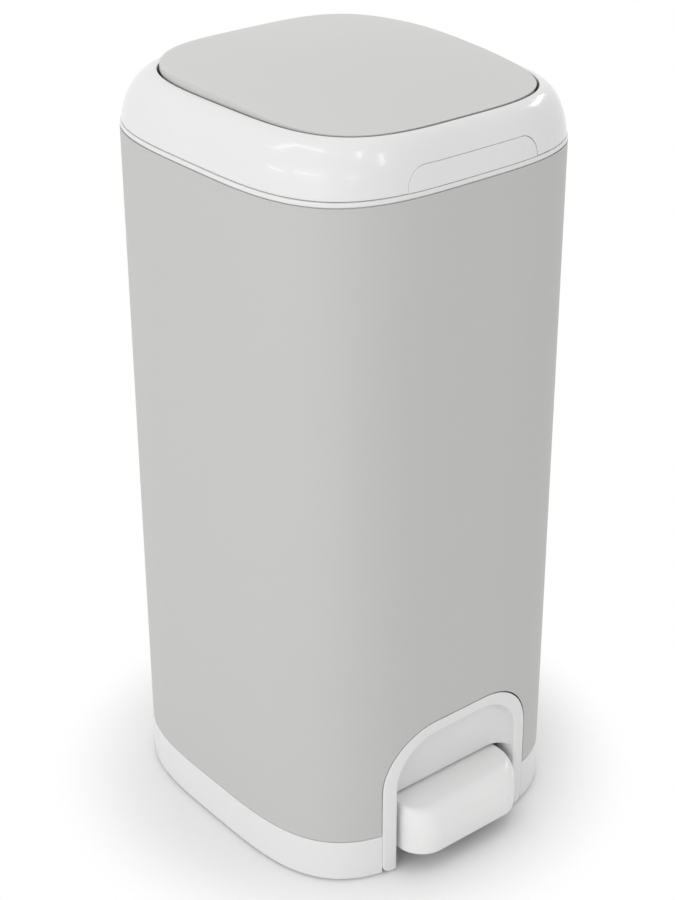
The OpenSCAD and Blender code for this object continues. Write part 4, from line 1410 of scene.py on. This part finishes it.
    def build(self) -> None:
        """Builds the pedal's works."""
        bench = self.bench
        self.tread()
        bench.soften(ZINC, pedal_lever=0.35, pedal_screws=0.2, pedal_axle=0.5)
        bench.soften(CLIP, axle_clips=0.2)
        bench.soften(ZINC, lift_rod=0.5)
        bench.soften(WHITE_INNER, rod_foot=0.4, lift_arm=0.6, rod_channel=0.3, rod_guides=0.4)
        coil = bench.spring("pedal_spring", "return_spring", 6.0, 0.8, 7)
        middle("pedal_spring")[1] * MM
        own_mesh(coil)


@dataclass
class HeadHinge:
    """The hinge behind the sleeve that the whole head tips back on."""

    bench: Bench
    head_rise: float = 1.4

    def build(self) -> None:
        """Builds the hinge."""
        self.bench.soften(BRACKET, hinge_bracket=0.4)
        self.bench.soften(ZINC, hinge_pin=0.4)
        self.bench.soften(WHITE_SHELL, hinge_arms=0.8)
        self.rivets()

    def rivets(self) -> None:
        """The domed rivets that hold the bracket to the sleeve."""
        low, high = reach("bracket_rivets")
        r, back = RIVET_HEAD, high[1] - self.head_rise
        length = back - low[1]
        profile = [(2.0, -length), (2.6, -length + 0.4), (2.6, -length + 1.4), (1.6, -length + 1.45),
                   (1.6, -0.05), (r, 0.0), (r, 0.25)]
        profile += [(r * math.cos(t), 0.25 + (self.head_rise - 0.25) * math.sin(t))
                    for t in (0.4, 0.8, 1.15, 1.4)]
        places = [((x, back, z), (0.0, 1.0, 0.0)) for x in (r - high[0], high[0] - r)
                  for z in (low[2] + r, high[2] - r)]
        self.bench.studded("bracket_rivets", "rivets", Work.turned("rivet", profile, 32), places, ZINC)


@dataclass
class Head:
    """The hinged head: the collar with its release tab, the cassette's well, the flaps and the latch."""

    bench: Bench
    foot_drop: float = 9.5
    shoulder_power: float = 2.06
    lid_power: float = 3.59
    lid_gap: float = 1.0
    wall: float = 2.5
    opening_wall: float = 2.2
    opening_drop: float = 11.5
    tab_half: float = 59.0
    tab_height: float = 17.0
    tab_radius: float = 15.0
    tab_gap: float = 0.4
    foot_round: float = 0.9
    lip: float = 0.7
    notch_near: float = 20.0
    notch_gap: float = 0.4
    notch_reach: Point2 = (12.0, 5.0)
    tab_depth: float = 10.0
    bead_inset: float = 0.2
    bead_depth: float = 4.0
    bead_round: float = 0.9
    bead_neck: float = 1.4
    bead_gap: float = 0.1
    bead_edge: float = 0.5
    tab_core: float = 0.06
    relief_x: float = 27.0
    relief_y: float = 100.0
    relief_radius: float = 4.0
    latch_press: float = 3.0

    def shoulder(self, turn: float, inset: float = 0.0) -> Section:
        """The shoulder's line at a turn.

        Args:
            turn: the turn in degrees, which grows to 90 at the lid.
            inset: the distance that the line is drawn in, square to the skin.

        Returns:
            The line.
        """
        plan = self.bench.plan
        c, s = math.cos(math.radians(turn)), math.sin(math.radians(turn))
        u, w = 1 - c ** (2 / self.shoulder_power), s ** (2 / self.shoulder_power)
        base = plan.sleeve_top - self.foot_drop
        return Section(plan.half_x + (plan.lid_half_x - plan.half_x) * u - inset * c,
                       plan.half_y + (plan.lid_half_y - plan.half_y) * u - inset * c,
                       plan.power + (self.lid_power - plan.power) * u, plan.lid_y * u,
                       base + (plan.head_top - base) * w - inset * s)

    def turn_at(self, height: float, inset: float = 0.0) -> float:
        """Finds the turn at which the shoulder reaches a height, by halving.

        Args:
            height: the height.
            inset: the distance that the shoulder is drawn in.

        Returns:
            The turn in degrees.
        """
        low, high = 0.0, 89.9
        for _ in range(40):
            turn = (low + high) / 2
            if self.shoulder(turn, inset).height < height:
                low = turn
            else:
                high = turn
        return low

    def lid_line(self, inset: float, height: float) -> Section:
        """The lid's edge, drawn in by inset, at a height."""
        plan = self.bench.plan
        return Section(plan.lid_half_x - inset, plan.lid_half_y - inset, self.lid_power, plan.lid_y, height)

    def collar(self) -> None:
        """The collar: the sloping shoulder and the wall that goes down round the lid."""
        plan, bench = self.bench.plan, self.bench
        foot = plan.head_foot
        run = plan.half_x - plan.lid_half_x
        last = math.degrees(math.acos((self.lid_gap / run) ** (self.shoulder_power / 2)))
        soft, gap, back = self.foot_round, self.lid_gap, self.lid_gap + self.opening_wall
        top, drop = plan.head_top, plan.head_top - self.opening_drop
        sections = [self.shoulder(self.turn_at(foot + rise)).drawn_in(depth, foot + rise)
                    for depth, rise in ((soft, 0.1), (0.3, 0.3), (0.0, soft))]
        sections += [self.shoulder(turn) for turn in spaced(self.turn_at(foot + soft), last, 26)[1:-1]]
        sections += [self.lid_line(-gap - self.lip * (1 - math.sin(t)),
                                   top - 0.03 - self.lip * (1 - math.cos(t)))
                     for t in (math.radians(a) for a in (12, 35, 60, 90))]
        sections += [self.lid_line(-gap, z) for z in spaced(top - 3, drop + 0.4, 3)]
        sections += [self.lid_line(-gap - 0.4, drop), self.lid_line(0.4 - back, drop),
                     self.lid_line(-back, drop + 0.4), self.lid_line(-back, top - 4.5)]
        low, high = (self.turn_at(z, self.wall) for z in (foot + 2, top - 3.2))
        sections += [self.shoulder(turn, self.wall) for turn in reversed(spaced(low, high, 10))]
        sections.append(self.shoulder(self.turn_at(foot, self.wall), self.wall))
        collar = bench.skins.skin("head_shoulder", sections, bench.material(WHITE_SHELL), around=360)
        gap = self.tab_gap
        opening = arch_outline(self.tab_half + gap, foot + self.tab_height + gap, self.tab_radius + gap,
                               foot - 2 * PAST)
        front = -plan.half_y - PAST
        depth = plan.lid_y - plan.lid_half_y + self.tab_depth - front
        collar.cut(Work.prism("tab_opening", [(x, front, z) for x, z in opening], (0, depth, 0)))
        _, (arm_x, _, arm_z) = reach("hinge_arms")
        ahead, behind = self.notch_reach
        for near, far in both_sides(self.notch_near, arm_x + self.notch_gap):
            collar.cut(Work.block("hinge_notch", (near, plan.half_y - ahead, foot - PAST),
                                  (far, plan.half_y + behind, arm_z + self.notch_gap)))
        bench.fit(collar, WHITE_SHELL, "head_collar")

    def tab(self) -> None:
        """The release tab: a patch of the shoulder with rolled edges."""
        centre = self.bench.plan.head_foot + self.tab_height / 2
        back, core = self.wall - 0.1, self.tab_core
        soft, plain = self.tab_outline(0.5), self.tab_outline(0.0)
        rings = [[self.on_shoulder(x * share, centre + (z - centre) * share, 0.0) for x, z in soft]
                 for share in (core, 0.3, 0.55, 0.75, 0.9)]
        rings += [[self.on_shoulder(x, z, depth) for x, z in self.tab_outline(inset)]
                  for inset, depth in ((0.5, 0.0), (0.3, 0.04), (0.15, 0.15), (0.04, 0.3), (0.0, 0.5))]
        rings.append([self.on_shoulder(x, z, back) for x, z in plain])
        rings.append([self.on_shoulder(x * core, centre + (z - centre) * core, back) for x, z in soft])
        self.bench.fit(Work.loft("head_release", rings), WHITE_SHELL, "release_tab")

    def tab_outline(self, inset: float) -> list[Point2]:
        """The tab's outline.

        Args:
            inset: the distance that it is drawn in.

        Returns:
            Its points in X and Z.
        """
        foot = self.bench.plan.head_foot
        return arch_outline(self.tab_half - inset, foot + self.tab_height - inset, self.tab_radius - inset,
                            foot + inset)

    def on_shoulder(self, x: float, z: float, inset: float) -> Point3:
        """Lays a point on the shoulder's front."""
        return (x, self.shoulder(self.turn_at(z, inset), inset).front_at(x), z)

    def rim(self) -> None:
        """The rim bead on the sleeve, with its lip inside the sleeve."""
        bench = self.bench
        plan = bench.plan
        low, high = reach("top_rim")
        seat = plan.sleeve_top + plan.seam + self.bead_gap
        top, e, near, r = high[2], self.bead_edge, self.bead_inset, self.bead_round
        far, neck = self.bead_depth, self.bead_neck
        outline = [(near + r, seat), (near + 0.25, seat + 0.25), (near, seat + r), (near, top - r),
                   (near + 0.25, top - 0.25), (near + r, top), (far - e, top), (far, top - e),
                   (far, low[2] + e), (far - e, low[2]), (neck + e, low[2]), (neck, low[2] + e),
                   (neck, seat)]
        rim = bench.skins.skin("rim_bead", plan.wall(outline), bench.material(WHITE_SHELL))
        z = reach("bracket_rivets")[1][2] - RIVET_HEAD
        rim.cut(*(Work.rod("relief", (x, self.relief_y, z), self.relief_radius,
                           (0, plan.half_y - self.relief_y, 0)) for x in (-self.relief_x, self.relief_x)))
        bench.fit(rim, WHITE_SHELL, "top_rim")

    def inner_works(self) -> None:
        """The well, the cassette, the clamp with its flaps, and the latch."""
        bench = self.bench
        bench.soften(WHITE_INNER, cassette_well=0.4)
        bench.soften(CASSETTE, refill_cassette=0.5)
        bench.soften(WHITE_INNER, clamp_frame=0.4, flap_left=0.4, flap_right=0.4)
        bench.soften(ZINC, flap_pins=0.3)
        bench.soften(WHITE_INNER, latch_hook=0.3)
        bench.soften(ZINC, latch_keeper=0.15, head_screws=0.2)
        for node in ("flap_spring_left", "flap_spring_right"):
            bench.spring(node, node + "_coil", 2.5, 0.5, 5, lying=True)
        coil = bench.spring("latch_spring", "tab_spring", 3.2, 0.5, 5, lying=True)
        middle("latch_spring")[2] * MM
        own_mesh(coil)

    def build(self) -> None:
        """Builds the head."""
        self.rim()
        self.collar()
        self.tab()
        self.inner_works()


@dataclass
class DomedLid:
    """The domed lid with its liner, seal, crank and odour filter."""

    bench: Bench
    dome: float = field(init=False)
    edge_power: float = 3.59
    centre_power: float = 2.2
    wall: float = 2.0
    edge_gap: float = 0.6
    undercut: float = 1.0
    edge_height: float = 7.5
    edge_round: float = 2.0
    crown: float = 2.3
    front_drop: float = 7.0
    hollow_drop: float = 5.8
    drop_start: float = 14.0
    drop_run: float = 140.0
    steep: float = 2.27
    flat: float = 2.97
    rear_start: float = 30.0
    rear_run: float = 60.0
    ear: Point2 = (29.3, 37.2)
    ear_front: float = 8.0
    ear_top: float = 1.2
    slot_count: int = 7
    slot_pitch: float = 5.0
    slot_size: Point3 = (28.6, 2.0, 6.0)

    def __post_init__(self) -> None:
        """Takes the dome's rise from its solid."""
        self.dome = reach("lid_cover")[1][2] - self.bench.plan.head_top

    def line(self, share: float, height: float, inset: float = 0.0) -> Section:
        """A line of the dome.

        Args:
            share: the share of the way from the middle to the edge.
            height: its height above the head's top.
            inset: the distance that it is drawn in.

        Returns:
            The line.
        """
        plan = self.bench.plan
        return Section(max(0.0, plan.lid_half_x * share - inset), max(0.0, plan.lid_half_y * share - inset),
                       self.centre_power + (self.edge_power - self.centre_power) * share, plan.lid_y,
                       plan.head_top + height)

    def body(self, name: str, inset: float) -> Work:
        """The lid's solid body: an upright edge under a low crown, pressed down towards the front.

        Args:
            name: the body's name.
            inset: the distance that its skin is drawn in.

        Returns:
            The body.
        """
        bench = self.bench
        draw, low, crest = self.edge_gap + inset, -LID_SKIRT, self.edge_height - inset
        r = self.edge_round
        if inset > 0:
            low -= PAST
            sections = [self.line(0, low), self.line(1, low, draw)]
        else:
            deep = draw + self.undercut
            sections = [self.line(0, low), self.line(0.97, low, deep), self.line(1, low, deep + 0.3),
                        self.line(1, low + 0.3, deep), self.line(1, -0.9, deep), self.line(1, -0.3, draw)]
        sections += [self.line(1, crest - r + r * math.sin(t), draw + r * (1 - math.cos(t)))
                     for t in (math.radians(a) for a in (0, 25, 50, 75))]
        rise = self.dome - self.edge_height
        inward = (draw + r) / bench.plan.lid_half_x
        sections += [self.line(share, crest + rise * (1 - (share / (1 - inward)) ** self.crown))
                     for share in spaced(1 - inward, 0, 24)]
        work = bench.skins.skin(name, sections, bench.material(GREY_LID), looped=False, around=360)
        return work.edit(lambda bm: self.press(bm, inset, low if inset > 0 else 0.0))

    def press(self, bm: bmesh.types.BMesh, inset: float, seat: float) -> None:
        """Presses the front down nearly level with the head, and rounds the rear off so that it can turn.

        Args:
            bm: the mesh.
            inset: the distance that the mesh's skin is drawn in.
            seat: the height that stays, with what lies below it.
        """
        plan = self.bench.plan
        crest = self.edge_height - inset
        most = self.hollow_drop if inset > 0 else self.front_drop
        front = plan.lid_y - plan.lid_half_y + self.drop_start
        for vert in bm.verts:
            x, y, height = vert.co.x / MM, vert.co.y / MM, vert.co.z / MM - plan.head_top
            drop = most * (1 - self.ease((y - front) / self.drop_run))
            if height >= crest:
                height -= drop
            elif height > seat:
                height = seat + (height - seat) * (crest - drop - seat) / (crest - seat)
            share = (abs(x / plan.lid_half_x) ** self.edge_power
                     + abs((y - plan.lid_y) / plan.lid_half_y) ** self.edge_power) ** (1 / self.edge_power)
            dome = self.dome * max(0.0, 1 - share ** self.steep) ** (1 / self.flat) - inset
            height -= max(0.0, height - max(dome, seat)) * self.ease((y - self.rear_start) / self.rear_run)
            vert.co.z = (height + plan.head_top) * MM

    @staticmethod
    def ease(share: float) -> float:
        """A smooth step from 0 to 1."""
        share = min(1.0, max(0.0, share))
        return share * share * (3 - 2 * share)

    def cover(self) -> None:
        """The domed cover."""
        plan = self.bench.plan
        cover = self.body("lid_dome", 0.0)
        cover.cut(self.body("lid_hollow", self.wall))
        _, pin_y, pin_z = middle("lid_pin")
        low = plan.head_top - LID_SKIRT - PAST
        for near, far in both_sides(*self.ear):
            cover.cut(Work.block("ear_notch", (near, pin_y - self.ear_front, low),
                                 (far, plan.lid_y + plan.lid_half_y + PAST, pin_z - self.ear_top)))
        self.bench.fit(cover, GREY_LID, "lid_cover")

    def seal(self) -> None:
        """The rubber seal under the liner, with a rounded lip."""
        bench = self.bench
        low, high = reach("lid_seal")
        base = Section(high[0], (high[1] - low[1]) / 2, bench.plan.power, middle("lid_seal")[1], 0.0)
        outline = [(0.4, high[2]), (0.0, high[2] - 0.4), (0.0, low[2] + 2.0), (0.4, low[2] + 0.9),
                   (1.2, low[2] + 0.2), (2.0, low[2]), (2.8, low[2] + 0.2), (3.6, low[2] + 0.9),
                   (4.0, low[2] + 2.0), (4.0, high[2] - 0.4), (3.6, high[2])]
        seal = bench.skins.skin("lid_gasket", [base.drawn_in(d, z) for d, z in outline],
                                bench.material(RUBBER), around=216)
        bench.fit(seal, RUBBER, "lid_seal")

    def filter_grille(self) -> None:
        """The slotted cap that holds the odour filter."""
        bench = self.bench
        low, high = reach("filter_cover")
        r, y, t = high[0], middle("filter_cover")[1], high[2] - low[2]
        cap = Work.turned("filter_grille", [(r - 1.2, 0.0), (r - 0.35, 0.25), (r, 0.9), (r, t)], 72)
        cap.move(Matrix.Translation((0, y * MM, low[2] * MM)))
        start = y - self.slot_pitch * (self.slot_count - 1) / 2
        slots = bench.slats.lay("slots", self.slot_count, (0, start, low[2] + 1), (0, self.slot_pitch, 0),
                                self.slot_size, bench.material(WHITE_INNER))
        bench.fit(cap.cut(slots), WHITE_INNER, "filter_cover")

    def build(self) -> None:
        """Builds the lid."""
        self.cover()
        self.seal()
        self.filter_grille()
        self.bench.soften(WHITE_INNER, lid_liner=0.4, lid_crank=0.4)
        self.bench.soften(ZINC, lid_pin=0.3)
        self.bench.soften(FELT, carbon_filter=0.4)
        self.bench.soften(ZINC, crank_screws=0.2)


# ---- studio ----


@dataclass(frozen=True)
class Lamp:
    """A soft lamp that faces a point of the object."""

    name: str
    place: Point3
    size: Point2
    power: float
    target: Point3 = (0.0, 0.0, 0.3)


@dataclass(frozen=True)
class Glint:
    """A small lamp that only shows as a reflection, placed by its direction from the head in degrees."""

    azimuth: float
    elevation: float
    width: float
    height: float
    glow: float = 4.5
    away: float = 2.5
    centre: Point3 = (0.0, 0.0, 0.59)

    def lamp(self, name: str) -> Lamp:
        """The lamp that gives this glint.

        Args:
            name: the lamp's name.

        Returns:
            The lamp.
        """
        turn, climb = math.radians(self.azimuth), math.radians(self.elevation)
        way = (math.sin(turn) * math.cos(climb), -math.cos(turn) * math.cos(climb), math.sin(climb))
        x, y, z = (c + w * self.away for c, w in zip(self.centre, way))
        wide, tall = (2 * self.away * math.tan(math.radians(v) / 2) for v in (self.width, self.height))
        return Lamp(name, (x, y, z), (wide, tall), self.glow * math.pi * wide * tall, self.centre)


@dataclass
class Studio:
    """The pale floor, the lamps and the camera."""

    eye: Point3 = (-0.8681, -1.0677, 1.0236)
    target: Point3 = (-0.0048, 0.0, 0.2994)
    lens: float = 78.53
    roll: float = -0.0045
    floor_half: float = 6.0
    ambient: float = 0.71
    shadow_reach: Point2 = (0.145, 0.255)
    lamps: tuple[Lamp, ...] = (
        Lamp("key", (-2.6, -0.9, 1.0), (1.8, 1.6), 19.0),
        Lamp("top", (0.1, 0.2, 2.6), (2.2, 2.2), 10.5),
    )
    glints: tuple[Glint, ...] = (
        Glint(-107, 11.5, 14, 1.6),
        Glint(-78, 16, 28, 1.6),
        Glint(-25, 10.5, 15, 1.6),
        Glint(-121, 42, 3, 18),
        Glint(-100, 57, 34, 3),
        Glint(-18, 42, 4, 18),
        Glint(4, 23, 4, 18),
        Glint(85, 25, 30, 8),
    )

    def build(self) -> None:
        """Builds the studio."""
        self.camera()
        self.floor()
        self.world()
        for lamp in self.lamps:
            self.lamp(lamp).visible_glossy = False
        for number, glint in enumerate(self.glints):
            self.lamp(glint.lamp(f"glint_{number}")).visible_diffuse = False

    def camera(self) -> None:
        """Sets the camera."""
        data = bpy.data.cameras.new("camera")
        data.lens = self.lens
        data.sensor_width = 36.0
        data.clip_end = 50.0
        camera = put("camera", data)
        camera.location = self.eye
        way = Vector(self.target) - Vector(self.eye)
        level = way.to_track_quat("-Z", "Y")
        camera.rotation_euler = (level @ Quaternion((0.0, 0.0, 1.0), self.roll)).to_euler()
        bpy.context.scene.camera = camera

    def floor(self) -> None:
        """Lays the floor: pale where the object shades it, and white to the camera further off."""
        half = self.floor_half
        mesh = bpy.data.meshes.new("floor")
        mesh.from_pydata([(-half, -half, 0), (half, -half, 0), (half, half, 0), (-half, half, 0)], [],
                         [(0, 1, 2, 3)])
        floor = put("floor", mesh)
        material = bpy.data.materials.new("studio_floor")
        material.use_nodes = True
        forge = Forge(material.node_tree)
        place = forge.node("ShaderNodeTexCoord").outputs["Object"]
        away = forge.num(forge.node("ShaderNodeVectorMath", {0: place}, operation="LENGTH").outputs["Value"])
        near, far = self.shadow_reach
        fade = forge.node("ShaderNodeMapRange", {"Value": away, "From Min": near, "From Max": far},
                          interpolation_type="SMOOTHSTEP")
        rays = forge.node("ShaderNodeLightPath")
        seen = forge.num(rays.outputs["Is Camera Ray"]).op("MAXIMUM", rays.outputs["Is Glossy Ray"])
        paint = forge.node("ShaderNodeBsdfDiffuse", {"Color": (0.93, 0.93, 0.93, 1.0)})
        white = forge.node("ShaderNodeEmission", {"Color": (1.0, 1.0, 1.0, 1.0)})
        mix = forge.node("ShaderNodeMixShader", {0: seen * forge.num(fade.outputs["Result"]),
                                                 1: paint.outputs[0], 2: white.outputs[0]})
        forge.node("ShaderNodeOutputMaterial", {"Surface": mix.outputs[0]})
        mesh.materials.append(material)

    def world(self) -> None:
        """Sets a white background over soft ambient light."""
        world = bpy.data.worlds.new("studio")
        world.use_nodes = True
        bpy.context.scene.world = world
        forge = Forge(world.node_tree)
        rays = forge.node("ShaderNodeLightPath")
        seen = forge.num(rays.outputs["Is Camera Ray"]).op("MAXIMUM", rays.outputs["Is Glossy Ray"])
        seen = seen.op("MAXIMUM", rays.outputs["Is Transmission Ray"])
        strength = seen * (1 - self.ambient) + self.ambient
        sky = forge.node("ShaderNodeBackground", {"Color": (1.0, 1.0, 1.0, 1.0), "Strength": strength})
        forge.node("ShaderNodeOutputWorld", {"Surface": sky.outputs[0]})

    def lamp(self, lamp: Lamp) -> bpy.types.Object:
        """Hangs one lamp.

        Args:
            lamp: the lamp.

        Returns:
            Its object.
        """
        data = bpy.data.lights.new(lamp.name, "AREA")
        data.shape = "RECTANGLE"
        data.size, data.size_y = lamp.size
        data.energy = lamp.power
        obj = put(lamp.name, data)
        obj.location = lamp.place
        obj.rotation_euler = (Vector(lamp.target) - Vector(lamp.place)).to_track_quat("-Z", "Y").to_euler()
        return obj


def main() -> None:
    """Builds the studio and every sub-assembly."""
    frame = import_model()
    Studio().build()
    bench = Bench(frame)
    for assembly in (SteelSleeve(bench), MouldedBase(bench), PedalWork(bench), HeadHinge(bench), Head(bench),
                     DomedLid(bench)):
        LOG.info("building %s", type(assembly).__name__)
        assembly.build()
    bpy.context.scene.view_settings.view_transform = "Standard"


if __name__ == "__main__":
    logging.basicConfig(level=logging.INFO, format="%(message)s", stream=sys.stdout)
    main()
